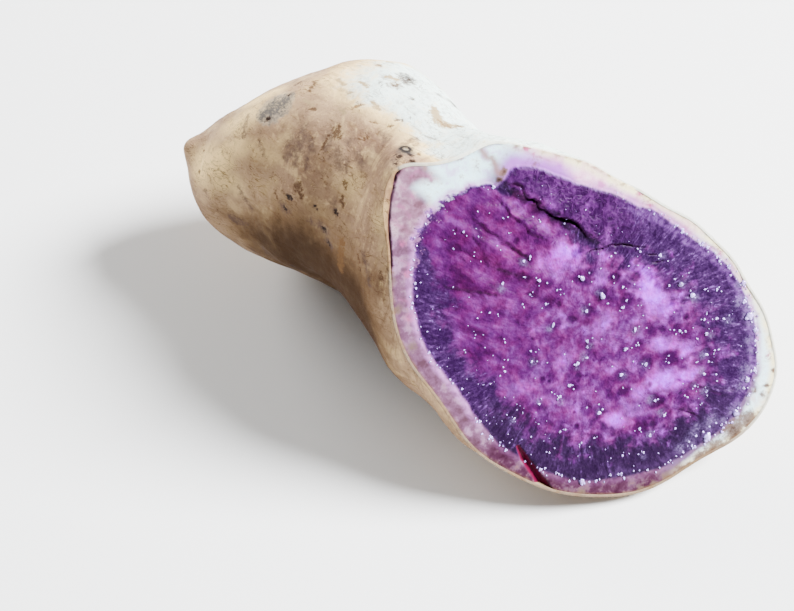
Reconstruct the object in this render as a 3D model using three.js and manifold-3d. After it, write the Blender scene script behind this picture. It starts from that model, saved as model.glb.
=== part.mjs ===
// One half of a white-skinned, purple-fleshed root tuber, cut across at a slant and laid on its side.
// Millimetres, +Z up, resting on z = 0, with the cut end towards +X and the root end towards -X.
//
// The tuber is shaped round its own growing axis, which runs along x through the middle of the cut. Each
// section is a ring of four quarter ellipses, and soft lumps and hollows are added to its radius. Angles
// round the axis are in degrees, from the front (0) over the top (90) and the back (180) to the bottom (270).
// The finished half is then leaned over until it rests on its root end and on the low edge of the cut.
import * as THREE from 'three';
import { mergeVertices } from 'three/addons/utils/BufferGeometryUtils.js';
import Module from 'manifold-3d';

// Driving dimensions
const TIP_X = -95; // the root end, measured from the middle of the cut
const TIP_ROUNDING = 30; // length over which the root end rounds off
const CUT_TURN = 56; // degrees that the cut face is turned from the front towards the cut end
const CUT_RISE = 33; // degrees that the cut face looks upwards
const LEAN_BACK = -7.7; // degrees turned about x to lie on the heavier side
const LEAN_DOWN = -6.9; // degrees turned about y until the root end touches down
const REST_PLACE = new THREE.Vector3(29.6, -0.4, 31.1); // the middle of the cut, in the finished part
const FLOOR_BITE = 12; // height of the block that trims the resting spots flat

const SPOKES = 80; // vertices round the axis
const SKIN_ROWS = 44; // vertices from the edge of the cut to the tip
const FACE_RINGS = 9; // vertices from the edge of the cut to its middle

// Sections along the axis: the centre's shift to the back (side) and up (rise), and four radii
const SECTIONS = [
  { x: -95, side: -16, rise: 3, front: 20, top: 19, back: 19, bottom: 21 },
  { x: -88, side: -12, rise: 2, front: 22, top: 20, back: 20, bottom: 23 },
  { x: -80, side: -7, rise: 2, front: 24, top: 23, back: 21, bottom: 25 },
  { x: -68, side: -1, rise: 2, front: 24.5, top: 27.5, back: 26, bottom: 25 },
  { x: -55, side: 0, rise: 2, front: 25.5, top: 30.5, back: 26, bottom: 26 },
  { x: -42, side: 0, rise: 1, front: 26.5, top: 30, back: 26, bottom: 25 },
  { x: -25, side: 0, rise: 0, front: 29.5, top: 32, back: 27, bottom: 28 },
  { x: -5, side: 0, rise: 0, front: 30, top: 32, back: 28.5, bottom: 31 },
  { x: 15, side: 0, rise: 0, front: 32, top: 31, back: 31, bottom: 32.5 },
  { x: 36, side: 0, rise: 0, front: 31.5, top: 32, back: 33, bottom: 31 },
];

// Lumps (height above 0) and hollows (below 0): place along and round, and how far they spread each way
const LUMPS = [
  { x: -34, at: 56, height: 3.2, along: 8, round: 14 }, // shoulder at the upper corner of the cut
  { x: -37, at: 65, height: 2, along: 6, round: 9 },
  { x: -25, at: 90, height: 1.5, along: 6, round: 8 },
  { x: -34, at: 112, height: -1.6, along: 6, round: 9 },
  { x: -34, at: 148, height: -7.5, along: 16, round: 38 }, // the waist, deepest at the back
  { x: -48, at: 325, height: -5.5, along: 11, round: 25 }, // and under the front
  { x: 0, at: 135, height: -1.2, along: 22, round: 25 },
  { x: -6, at: 320, height: 3, along: 12, round: 18 },
  { x: 9, at: 300, height: 1.6, along: 16, round: 22 },
  { x: 28, at: 256, height: -1.8, along: 11, round: 18 }, // dent in the low edge of the cut
  { x: -64, at: 262, height: 1.2, along: 12, round: 14 }, // what it rests on at the root end
  { x: 8, at: 262, height: 0.6, along: 14, round: 14 }, // and at the cut end
];

// Slow waves in the skin: height, waves along (radians per mm), waves round, and where each begins
const WAVES = [
  { height: 0.28, along: 0.19, round: 2, start: 0.6 },
  { height: 0.22, along: 0.31, round: -3, start: 2.1 },
  { height: 0.14, along: 0.53, round: 5, start: 4.0 },
];

// The stub of the root at the tip
const STUB = { x: -92.5, at: 40, height: 2, spread: 3.2, lean: new THREE.Vector3(-0.75, -0.45, 0.45) };

// The torn part of the cut face, in millimetres right of and above the middle of the cut
const SLAB_EDGE = { from: [-13, 30.6], to: [3.2, 17.6] };
const SLAB_HEIGHT = 0.9; // how far the torn slab stands up along its edge
const SLAB_LENGTH = 12; // how far behind that edge it fades out
const SLAB_ENDS = 5; // how far past its two ends it fades out
const STEP_WIDTH = 2; // how soft the step is
const TEARS = { height: 0.3, period: 7, middle: [-14, 17], spread: 12 };

// Cracks: right, above, half the width and the depth at each point
const CRACKS = [
  [
    [-12.7, 30.4, 0.2, 0.8],
    [-9.2, 28, 0.5, 2.4],
    [-6.1, 25.1, 0.45, 3],
    [-3.2, 22.9, 0.7, 3.4],
    [0.7, 20.7, 0.55, 2.6],
    [2.9, 17.8, 0.15, 0.8],
  ],
  [
    [2.4, 14.2, 0.15, 0.6],
    [6.5, 14.9, 0.35, 1.6],
    [10.6, 14.6, 0.35, 1.6],
    [14.3, 13.4, 0.15, 0.6],
  ],
];
const CRACK_TOP = 3; // how far a crack's cutting wedge stands above the face

const SKIN_TAN = 0xd9c3a0;
const SKIN_ROUGHNESS = 0.7;

const rad = THREE.MathUtils.degToRad;

// The cut face: the way it looks, and its own right and up directions
const faceOut = new THREE.Vector3(
  Math.sin(rad(CUT_TURN)) * Math.cos(rad(CUT_RISE)),
  -Math.cos(rad(CUT_TURN)) * Math.cos(rad(CUT_RISE)),
  Math.sin(rad(CUT_RISE)),
);
const faceUp = new THREE.Vector3(0, 0, 1).addScaledVector(faceOut, -faceOut.z).normalize();
const faceRight = new THREE.Vector3().crossVectors(faceUp, faceOut);

// A point given by its place on the cut face and its height above it
function onFace(right, above, height) {
  return new THREE.Vector3()
    .addScaledVector(faceRight, right)
    .addScaledVector(faceUp, above)
    .addScaledVector(faceOut, height);
}

// One measure of the section at x, by smooth interpolation between the given sections
function sectionAt(x, measure) {
  const last = SECTIONS.length - 1;
  const place = THREE.MathUtils.clamp(x, SECTIONS[0].x, SECTIONS[last].x);
  const next = Math.max(1, SECTIONS.findIndex((section) => section.x >= place));
  const slope = (i) => {
    return (SECTIONS[i][measure] - SECTIONS[i - 1][measure]) / (SECTIONS[i].x - SECTIONS[i - 1].x);
  };
  const tangent = (i) => {
    if (i === 0) return slope(1);
    if (i === last) return slope(last);
    const before = SECTIONS[i].x - SECTIONS[i - 1].x;
    const after = SECTIONS[i + 1].x - SECTIONS[i].x;
    return (slope(i) * after + slope(i + 1) * before) / (before + after);
  };
  const a = SECTIONS[next - 1];
  const b = SECTIONS[next];
  const h = b.x - a.x;
  const u = (place - a.x) / h;
  return (
    (2 * u ** 3 - 3 * u ** 2 + 1) * a[measure] +
    (u ** 3 - 2 * u ** 2 + u) * h * tangent(next - 1) +
    (3 * u ** 2 - 2 * u ** 3) * b[measure] +
    (u ** 3 - u ** 2) * h * tangent(next)
  );
}

// Signed difference of two angles in degrees, between -180 and 180
function turnBetween(a, b) {
  return THREE.MathUtils.euclideanModulo(a - b + 180, 360) - 180;
}

// The skin's distance from the axis
function radiusAt(x, degrees) {
  const forward = Math.cos(rad(degrees));
  const upward = Math.sin(rad(degrees));
  const level = sectionAt(x, forward >= 0 ? 'front' : 'back');
  const upright = sectionAt(x, upward >= 0 ? 'top' : 'bottom');
  let radius = 1 / Math.hypot(forward / level, upward / upright);
  for (const lump of LUMPS) {
    const along = (x - lump.x) / lump.along;
    const round = turnBetween(degrees, lump.at) / lump.round;
    radius += lump.height * Math.exp(-(along ** 2) - round ** 2);
  }
  for (const wave of WAVES) {
    radius += wave.height * Math.sin(wave.along * x + wave.round * rad(degrees) + wave.start);
  }
  const t = THREE.MathUtils.clamp((x - TIP_X) / TIP_ROUNDING, 0, 1);
  return radius * Math.sqrt(1 - (1 - t) ** 2);
}

// A point of the skin, without the stub
function plainSkin(x, degrees) {
  const radius = radiusAt(x, degrees);
  return new THREE.Vector3(
    x,
    sectionAt(x, 'side') - radius * Math.cos(rad(degrees)),
    sectionAt(x, 'rise') + radius * Math.sin(rad(degrees)),
  );
}

const stubPlace = plainSkin(STUB.x, STUB.at);
const stubOut = STUB.lean.clone().normalize();

// A point of the skin
function skinPoint(x, degrees) {
  const point = plainSkin(x, degrees);
  const near = Math.exp(-point.distanceToSquared(stubPlace) / STUB.spread ** 2);
  return point.addScaledVector(stubOut, STUB.height * near);
}

// Where the skin meets the plane of the cut, found by halving
function edgeX(degrees) {
  let inside = TIP_X + 20;
  let outside = SECTIONS.at(-1).x;
  for (let step = 0; step < 40; step += 1) {
    const middle = (inside + outside) / 2;
    if (skinPoint(middle, degrees).dot(faceOut) < 0) inside = middle;
    else outside = middle;
  }
  return (inside + outside) / 2;
}

// Height of the torn flesh above the plane of the cut
function tornHeight(right, above) {
  const [fromRight, fromAbove] = SLAB_EDGE.from;
  const [toRight, toAbove] = SLAB_EDGE.to;
  const length = Math.hypot(toRight - fromRight, toAbove - fromAbove);
  const lineRight = (toRight - fromRight) / length;
  const lineAbove = (toAbove - fromAbove) / length;
  const along = (right - fromRight) * lineRight + (above - fromAbove) * lineAbove;
  const behind = (above - fromAbove) * lineRight - (right - fromRight) * lineAbove;
  const { smoothstep } = THREE.MathUtils;
  const step = smoothstep(behind, -STEP_WIDTH / 2, STEP_WIDTH / 2);
  const ends = smoothstep(along, -SLAB_ENDS, 0) * (1 - smoothstep(along, length, length + SLAB_ENDS));
  const slab = SLAB_HEIGHT * step * ends * Math.exp(-((Math.max(behind, 0) / SLAB_LENGTH) ** 2));
  const reach = Math.hypot(right - TEARS.middle[0], above - TEARS.middle[1]) / TEARS.spread;
  const tears = TEARS.height * Math.sin((2 * Math.PI * behind) / TEARS.period) * Math.exp(-(reach ** 2));
  return slab + tears;
}

// The skin and the cut face as one closed mesh: rings of vertices from the middle of the cut to the tip
function wholeHalf() {
  const positions = [];
  const faces = [];
  const edges = Array.from({ length: SPOKES }, (_, j) => edgeX((360 * j) / SPOKES));
  positions.push(...onFace(0, 0, tornHeight(0, 0)).toArray());
  for (let ring = 1; ring < FACE_RINGS; ring += 1) {
    for (let j = 0; j < SPOKES; j += 1) {
      const point = skinPoint(edges[j], (360 * j) / SPOKES).multiplyScalar(ring / FACE_RINGS);
      const height = tornHeight(point.dot(faceRight), point.dot(faceUp));
      positions.push(...point.addScaledVector(faceOut, height).toArray());
    }
  }
  for (let row = 0; row < SKIN_ROWS; row += 1) {
    const share = Math.sin((row / SKIN_ROWS) * (Math.PI / 2));
    for (let j = 0; j < SPOKES; j += 1) {
      const x = THREE.MathUtils.lerp(edges[j], TIP_X, share);
      positions.push(...skinPoint(x, (360 * j) / SPOKES).toArray());
    }
  }
  positions.push(...skinPoint(TIP_X, 0).toArray());

  const rings = FACE_RINGS - 1 + SKIN_ROWS;
  const tip = positions.length / 3 - 1;
  const vertex = (ring, j) => 1 + ring * SPOKES + (j % SPOKES);
  for (let j = 0; j < SPOKES; j += 1) {
    faces.push(0, vertex(0, j + 1), vertex(0, j));
    faces.push(tip, vertex(rings - 1, j), vertex(rings - 1, j + 1));
    for (let ring = 0; ring < rings - 1; ring += 1) {
      faces.push(vertex(ring, j), vertex(ring, j + 1), vertex(ring + 1, j + 1));
      faces.push(vertex(ring, j), vertex(ring + 1, j + 1), vertex(ring + 1, j));
    }
  }
  const geometry = new THREE.BufferGeometry();
  geometry.setAttribute('position', new THREE.Float32BufferAttribute(positions, 3));
  geometry.setIndex(faces);
  return geometry;
}

// The wedge that cuts one crack: two edges above the face and one at the bottom of the crack
function crackWedge(route) {
  const positions = [];
  const faces = [];
  route.forEach(([right, above, halfWidth, depth], i) => {
    const before = route[Math.max(i - 1, 0)];
    const after = route[Math.min(i + 1, route.length - 1)];
    const length = Math.hypot(after[0] - before[0], after[1] - before[1]);
    const sideRight = (-(after[1] - before[1]) / length) * halfWidth;
    const sideAbove = ((after[0] - before[0]) / length) * halfWidth;
    positions.push(...onFace(right + sideRight, above + sideAbove, CRACK_TOP).toArray());
    positions.push(...onFace(right - sideRight, above - sideAbove, CRACK_TOP).toArray());
    positions.push(...onFace(right, above, -depth).toArray());
  });
  for (let i = 0; i < route.length - 1; i += 1) {
    for (let side = 0; side < 3; side += 1) {
      const a = 3 * i + side;
      const b = 3 * i + ((side + 1) % 3);
      faces.push(a, a + 3, b + 3, a, b + 3, b);
    }
  }
  const end = 3 * (route.length - 1);
  faces.push(0, 1, 2, end, end + 2, end + 1);
  const geometry = new THREE.BufferGeometry();
  geometry.setAttribute('position', new THREE.Float32BufferAttribute(positions, 3));
  geometry.setIndex(faces);
  return geometry;
}

// Turns and moves the half, as it grew, to the way it lies
function layDown(geometry) {
  geometry.rotateX(rad(LEAN_BACK));
  geometry.rotateY(rad(LEAN_DOWN));
  geometry.translate(REST_PLACE.x, REST_PLACE.y, REST_PLACE.z);
  return geometry;
}

const wasm = await Module();
wasm.setup();

function toSolid(geometry) {
  const bare = geometry.clone();
  bare.deleteAttribute('normal');
  bare.deleteAttribute('uv');
  const merged = mergeVertices(bare);
  return new wasm.Manifold(
    new wasm.Mesh({
      numProp: 3,
      vertProperties: new Float32Array(merged.attributes.position.array),
      triVerts: new Uint32Array(merged.index.array),
    }),
  );
}

function toGeometry(solid) {
  const { vertProperties, triVerts } = solid.getMesh();
  const geometry = new THREE.BufferGeometry();
  geometry.setAttribute('position', new THREE.BufferAttribute(vertProperties, 3));
  geometry.setIndex(new THREE.BufferAttribute(triVerts, 1));
  geometry.computeVertexNormals();
  return geometry;
}

function makeYamHalf() {
  let solid = toSolid(layDown(wholeHalf()));
  for (const route of CRACKS) {
    solid = solid.subtract(toSolid(layDown(crackWedge(route))));
  }
  const floor = new THREE.BoxGeometry(300, 300, FLOOR_BITE).translate(0, 0, -FLOOR_BITE / 2);
  solid = solid.subtract(toSolid(floor));
  const mesh = new THREE.Mesh(
    toGeometry(solid),
    new THREE.MeshStandardMaterial({ color: SKIN_TAN, roughness: SKIN_ROUGHNESS, metalness: 0 }),
  );
  mesh.name = 'yam_half';
  return mesh;
}

const part = new THREE.Group();
part.add(makeYamHalf());

export default part;
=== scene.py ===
"""The looks of one half of a white-skinned, purple-fleshed root tuber, cut across at a slant.

Shapes are worked out in millimetres round the tuber's own growing axis, with x running from the root end to
the cut, and the middle of the cut at the origin. They are then laid down into the row frame, in metres.
Angles round the axis are in degrees: 0 is the front, 90 the top, 180 the back and 270 the bottom. Places on
the cut are given as how far right of its middle and how far above it they are, seen from straight in front.
"""

import math
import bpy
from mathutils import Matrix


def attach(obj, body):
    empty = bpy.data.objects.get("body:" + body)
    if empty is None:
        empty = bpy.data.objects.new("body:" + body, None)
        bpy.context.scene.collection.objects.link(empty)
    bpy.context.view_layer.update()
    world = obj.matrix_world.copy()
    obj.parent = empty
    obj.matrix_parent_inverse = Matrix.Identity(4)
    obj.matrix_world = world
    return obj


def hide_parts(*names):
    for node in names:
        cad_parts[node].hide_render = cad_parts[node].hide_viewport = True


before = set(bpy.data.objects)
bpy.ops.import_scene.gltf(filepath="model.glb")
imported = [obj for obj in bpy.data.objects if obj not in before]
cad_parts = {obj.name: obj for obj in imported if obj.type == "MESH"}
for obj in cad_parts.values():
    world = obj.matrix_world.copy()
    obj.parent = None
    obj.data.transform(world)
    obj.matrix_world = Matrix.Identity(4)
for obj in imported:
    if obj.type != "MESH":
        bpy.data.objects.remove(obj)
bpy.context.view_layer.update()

from types import SimpleNamespace

import bpy
import numpy as np
from mathutils import Matrix, Vector

SEED = 20
MM = 0.001  # a millimetre in metres

# ---------------------------------------------------------------- the tuber's shape, as in the CAD model
TIP_X = -95.0
TIP_ROUNDING = 30.0
CUT_TURN = 56.0
CUT_RISE = 33.0
LEAN_BACK = -7.7
LEAN_DOWN = -6.9
REST_PLACE = np.array([29.6, -0.4, 31.1])

# x, then the centre's shift to the back and up, then the radii to the front, top, back and bottom
SECTIONS = np.array([
    [-95, -16, 3, 20, 19, 19, 21],
    [-88, -12, 2, 22, 20, 20, 23],
    [-80, -7, 2, 24, 23, 21, 25],
    [-68, -1, 2, 24.5, 27.5, 26, 25],
    [-55, 0, 2, 25.5, 30.5, 26, 26],
    [-42, 0, 1, 26.5, 30, 26, 25],
    [-25, 0, 0, 29.5, 32, 27, 28],
    [-5, 0, 0, 30, 32, 28.5, 31],
    [15, 0, 0, 32, 31, 31, 32.5],
    [36, 0, 0, 31.5, 32, 33, 31],
])
SIDE, RISE, FRONT, TOP, BACK, BOTTOM = range(6)

# place along and round, height, and spread along and round
LUMPS = [
    (-34, 56, 3.2, 8, 14),
    (-37, 65, 2, 6, 9),
    (-25, 90, 1.5, 6, 8),
    (-34, 112, -1.6, 6, 9),
    (-34, 148, -7.5, 16, 38),
    (-48, 325, -5.5, 11, 25),
    (0, 135, -1.2, 22, 25),
    (-6, 320, 3, 12, 18),
    (9, 300, 1.6, 16, 22),
    (28, 256, -1.8, 11, 18),
    (-64, 262, 1.2, 12, 14),
    (8, 262, 0.6, 14, 14),
]
# height, radians per mm along, waves round, and start
WAVES = [(0.28, 0.19, 2, 0.6), (0.22, 0.31, -3, 2.1), (0.14, 0.53, 5, 4.0)]
STUB_X, STUB_AT, STUB_HEIGHT, STUB_SPREAD = -92.5, 40.0, 2.0, 3.2
STUB_LEAN = np.array([-0.75, -0.45, 0.45])

SLAB_FROM = np.array([-13.0, 30.6])
SLAB_TO = np.array([3.2, 17.6])
SLAB_HEIGHT = 0.9
SLAB_LENGTH = 12.0
SLAB_ENDS = 5.0
STEP_WIDTH = 2.0
EDGE_MARGIN, EDGE_HALVINGS = 20.0, 40  # where the search for the cut's edge starts, and its steps
TEAR_HEIGHT, TEAR_PERIOD, TEAR_MIDDLE, TEAR_SPREAD = 0.3, 7.0, (-14.0, 17.0), 12.0


def smoothstep(x, low, high):
    t = np.clip((x - low) / (high - low), 0, 1)
    return t * t * (3 - 2 * t)


def unit(v):
    return v / np.linalg.norm(v, axis=-1, keepdims=True)


turn, lift = math.radians(CUT_TURN), math.radians(CUT_RISE)
FACE_OUT = np.array([math.sin(turn) * math.cos(lift), -math.cos(turn) * math.cos(lift), math.sin(lift)])
FACE_UP = unit(np.array([0, 0, 1.0]) - FACE_OUT * FACE_OUT[2])
FACE_RIGHT = np.cross(FACE_UP, FACE_OUT)


def section_tangents():
    """The slopes of the centre's shifts and the radii at each section."""
    x, y = SECTIONS[:, 0], SECTIONS[:, 1:]
    step = np.diff(x)
    slope = np.diff(y, axis=0) / step[:, None]
    inner = (slope[:-1] * step[1:, None] + slope[1:] * step[:-1, None]) / (step[:-1] + step[1:])[:, None]
    return np.vstack([slope[:1], inner, slope[-1:]])


TANGENTS = section_tangents()


def section_at(x):
    """The centre's shifts and the four radii of the section at x."""
    xs, ys = SECTIONS[:, 0], SECTIONS[:, 1:]
    x = np.clip(x, xs[0], xs[-1])
    k = np.clip(np.searchsorted(xs, x), 1, len(xs) - 1)
    h = (xs[k] - xs[k - 1])[..., None]
    u = (x - xs[k - 1])[..., None] / h
    return (
        (2 * u**3 - 3 * u**2 + 1) * ys[k - 1]
        + (u**3 - 2 * u**2 + u) * h * TANGENTS[k - 1]
        + (3 * u**2 - 2 * u**3) * ys[k]
        + (u**3 - u**2) * h * TANGENTS[k]
    )


def turn_between(a, b):
    return (a - b + 180) % 360 - 180


def plain_skin(x, at):
    """The points of the skin at x and the angle at, without the root's stub."""
    x, at = np.broadcast_arrays(np.asarray(x, float), np.asarray(at, float))
    section = section_at(x)
    phi = np.radians(at)
    forward, upward = np.cos(phi), np.sin(phi)
    level = np.where(forward >= 0, section[..., FRONT], section[..., BACK])
    upright = np.where(upward >= 0, section[..., TOP], section[..., BOTTOM])
    radius = 1 / np.hypot(forward / level, upward / upright)
    for place, angle, height, along, around in LUMPS:
        away = ((x - place) / along) ** 2 + (turn_between(at, angle) / around) ** 2
        radius = radius + height * np.exp(-away)
    for height, along, around, start in WAVES:
        radius = radius + height * np.sin(along * x + around * phi + start)
    t = np.clip((x - TIP_X) / TIP_ROUNDING, 0, 1)
    radius = radius * np.sqrt(1 - (1 - t) ** 2)
    return np.stack([x, section[..., SIDE] - radius * forward, section[..., RISE] + radius * upward], -1)


stub_place = plain_skin(STUB_X, STUB_AT)


def skin_point(x, at):
    """The points of the skin at x and the angle at."""
    point = plain_skin(x, at)
    near = np.exp(-((point - stub_place) ** 2).sum(-1) / STUB_SPREAD**2)
    return point + unit(STUB_LEAN) * (STUB_HEIGHT * near)[..., None]


def edge_x(at):
    """Where the skin meets the plane of the cut, at each angle."""
    inside = np.full(at.shape, TIP_X + EDGE_MARGIN)
    outside = np.full(at.shape, SECTIONS[-1, 0])
    for _ in range(EDGE_HALVINGS):
        middle = (inside + outside) / 2
        short = skin_point(middle, at) @ FACE_OUT < 0
        inside = np.where(short, middle, inside)
        outside = np.where(short, outside, middle)
    return (inside + outside) / 2


def lying_turn():
    """The turn from the tuber's own frame to the way it lies."""
    a, b = math.radians(LEAN_BACK), math.radians(LEAN_DOWN)
    about_x = np.array([[1, 0, 0], [0, math.cos(a), -math.sin(a)], [0, math.sin(a), math.cos(a)]])
    about_y = np.array([[math.cos(b), 0, math.sin(b)], [0, 1, 0], [-math.sin(b), 0, math.cos(b)]])
    return about_y @ about_x


LYING = lying_turn()


def lay_down(point):
    """From the tuber's own frame to the way it lies, still in millimetres."""
    return point @ LYING.T + REST_PLACE


def on_face(right, above, height):
    """Points in the tuber's own frame from places on the cut and heights above its plane."""
    return (
        np.asarray(right)[..., None] * FACE_RIGHT
        + np.asarray(above)[..., None] * FACE_UP
        + np.asarray(height)[..., None] * FACE_OUT
    )


def in_cut_frame(points):
    """Points of the tuber's own frame as right, above and out of the cut."""
    return np.stack([points @ FACE_RIGHT, points @ FACE_UP, points @ FACE_OUT], 1)


def torn_height(right, above):
    """The torn slab and the soft tears beside it, as in the CAD model."""
    line = SLAB_TO - SLAB_FROM
    length = np.hypot(*line)
    line = line / length
    along = (right - SLAB_FROM[0]) * line[0] + (above - SLAB_FROM[1]) * line[1]
    behind = (above - SLAB_FROM[1]) * line[0] - (right - SLAB_FROM[0]) * line[1]
    ends = smoothstep(along, -SLAB_ENDS, 0) * (1 - smoothstep(along, length, length + SLAB_ENDS))
    step = smoothstep(behind, -STEP_WIDTH / 2, STEP_WIDTH / 2)
    slab = SLAB_HEIGHT * step * ends * np.exp(-((np.maximum(behind, 0) / SLAB_LENGTH) ** 2))
    reach = np.hypot(right - TEAR_MIDDLE[0], above - TEAR_MIDDLE[1]) / TEAR_SPREAD
    tears = TEAR_HEIGHT * np.sin(2 * math.pi * behind / TEAR_PERIOD) * np.exp(-(reach**2))
    return slab + tears


# ---------------------------------------------------------------- the photo's view, in the tuber's own frame
IMAGE_WIDTH, IMAGE_HEIGHT = 794, 611  # pixels
FIELD_OF_VIEW = 40.0  # degrees, across the image
PHOTO_AZIMUTH, PHOTO_ELEVATION = 42.0, 47.0
PHOTO_DISTANCE = 218.0  # along the view, from the camera to the middle of the cut
CUT_PIXEL = (582, 325)  # where the middle of the cut shows
PIXEL_SIZE = 0.2  # a pixel at the middle of the cut, in mm


def view_axes(azimuth, elevation):
    """The directions to the right, up and back to the camera in a view."""
    a, e = math.radians(azimuth), math.radians(elevation)
    right = np.array([math.cos(a), math.sin(a), 0])
    back = np.array([math.sin(a) * math.cos(e), -math.cos(a) * math.cos(e), math.sin(e)])
    return right, np.cross(back, right), back


PHOTO_RIGHT, PHOTO_UP, PHOTO_BACK = view_axes(PHOTO_AZIMUTH, PHOTO_ELEVATION)


def sight(pixels):
    """Lines of sight through pixels, 1 long along the view."""
    far = IMAGE_WIDTH / 2 / math.tan(math.radians(FIELD_OF_VIEW / 2))
    across = (pixels[..., :1] - IMAGE_WIDTH / 2) / far
    down = (pixels[..., 1:] - IMAGE_HEIGHT / 2) / far
    return across * PHOTO_RIGHT - down * PHOTO_UP - PHOTO_BACK


def seen_on_cut(pixels):
    """The places on the plane of the cut (right, above), in mm, that show at pixels."""
    eye = -PHOTO_DISTANCE * sight(np.array(CUT_PIXEL))
    ray = sight(np.array(pixels, float))
    point = eye - ray * (eye @ FACE_OUT / (ray @ FACE_OUT))[:, None]
    return point @ FACE_RIGHT, point @ FACE_UP


# ---------------------------------------------------------------- seeded noise
TABLES = {}
TABLE_SIZE = 256
FINER, ASIDE = 2.03, 17.3  # each octave is this much finer than the last, and moved aside
NOISE_GAIN = 1.7


def noise(points, size, seed, octaves=1, rough=0.5):
    """Smooth noise of about -1 to 1 whose lumps are about size across, with finer octaves added."""
    if seed not in TABLES:
        draw = np.random.default_rng(SEED * 1000 + seed)
        TABLES[seed] = (draw.permutation(TABLE_SIZE), unit(draw.normal(size=(TABLE_SIZE, 3))))
    order, slopes = TABLES[seed]
    total = np.zeros(len(points))
    strength, reach = 1.0, 0.0
    place = np.asarray(points, float) / size
    for _ in range(octaves):
        cell = np.floor(place).astype(int)
        part = place - cell
        fade = part**3 * (part * (part * 6 - 15) + 10)
        value = np.zeros(len(points))
        for corner in np.ndindex(2, 2, 2):
            x, y, z = (cell + corner).T
            slope = slopes[order[(order[(order[x % TABLE_SIZE] + y) % TABLE_SIZE] + z) % TABLE_SIZE]]
            weight = np.prod(np.where(np.array(corner) == 1, fade, 1 - fade), axis=1)
            value += weight * ((part - corner) * slope).sum(1)
        total += strength * value
        reach += strength
        strength *= rough
        place = place * FINER + ASIDE
    return total / reach * NOISE_GAIN


def flat_noise(right, above, size, seed, octaves=1, rough=0.5):
    return noise(np.stack([right, above, np.full(right.shape, 0.37 * seed)], 1), size, seed, octaves, rough)


# ---------------------------------------------------------------- the edge of the cut
EDGE_STEPS = 2880
fine_at = np.linspace(0, 360, EDGE_STEPS, endpoint=False)
fine_edge = edge_x(fine_at)
fine_rim = skin_point(fine_edge, fine_at)
fine_right, fine_above = fine_rim @ FACE_RIGHT, fine_rim @ FACE_UP
fine_theta = np.unwrap(np.arctan2(fine_above, fine_right))
if fine_theta[-1] < fine_theta[0]:
    rim_order = slice(None, None, -1)
else:
    rim_order = slice(None)
RIM_THETA = fine_theta[rim_order]
RIM_RADIUS = np.hypot(fine_right, fine_above)[rim_order]
RIM_AT = fine_at[rim_order]


def around_rim(theta, values):
    """values, given at RIM_THETA, at other angles theta seen from the middle of the cut (radians)."""
    start = RIM_THETA[0]
    wrapped = (theta - start) % (2 * math.pi) + start
    return np.interp(wrapped, np.append(RIM_THETA, RIM_THETA[0] + 2 * math.pi), np.append(values, values[0]))


def rim_radius(theta):
    return around_rim(theta, RIM_RADIUS)


def rim_at(theta):
    """The angle round the axis of the skin's edge at theta."""
    across = around_rim(theta, np.cos(np.radians(RIM_AT)))
    upward = around_rim(theta, np.sin(np.radians(RIM_AT)))
    return np.degrees(np.arctan2(upward, across)) % 360


def by_angle(theta, table):
    """A value given at a few angles (degrees), smoothly in between."""
    angles = np.array([row[0] for row in table], float)
    values = np.array([row[1] for row in table], float)
    degrees = (np.degrees(theta) - angles[0]) % 360 + angles[0]
    return np.interp(degrees, np.append(angles, angles[0] + 360), np.append(values, values[0]))


# ---------------------------------------------------------------- what shows on the cut, in mm and degrees
# The ring of latex tubes under the bark: pixels that it passes in the photo, and how far it lies inside the
# skin (mm) at angles (degrees) in between
RING_SEEN = [
    (490, 434), (575, 480), (600, 481), (620, 477), (645, 472), (668, 465), (690, 452), (712, 436),
    (730, 420), (757, 335), (752, 310), (720, 257), (705, 246), (690, 236), (678, 226), (665, 216),
    (652, 209), (640, 205), (610, 190), (575, 182), (545, 170), (530, 165), (516, 166), (508, 169),
    (504, 178), (463, 190), (455, 193), (447, 197), (437, 208), (428, 217), (421, 226), (415, 240),
    (412, 268), (413, 300),
]
RING_BETWEEN = [
    (-180, 4.6), (-160, 4.5), (-128, 4.1), (-115, 3.8), (-28, 5.5), (-21, 4.8), (1, 1.7), (10, 1.6),
    (81, 4.5), (115, 8.5), (117, 7.2), (122, 6.3),
]


def ring_inset():
    """How far the ring lies inside the skin, by angle (degrees)."""
    right, above = seen_on_cut(RING_SEEN)
    theta = np.arctan2(above, right)
    inset = np.round(rim_radius(theta) - np.hypot(right, above), 1)
    return sorted([*zip(np.round(np.degrees(theta)).tolist(), inset.tolist()), *RING_BETWEEN])


RING_INSET = ring_inset()

# The width of the dark band inside the ring
BAND_WIDTH = [
    (-180, 6), (-150, 7), (-135, 9), (-100, 10), (-60, 10), (-30, 12), (0, 13), (30, 13), (60, 14), (90, 16),
    (110, 5), (118, 0.6), (142, 1.5), (150, 5.5), (158, 8), (170, 7.5),
]
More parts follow.
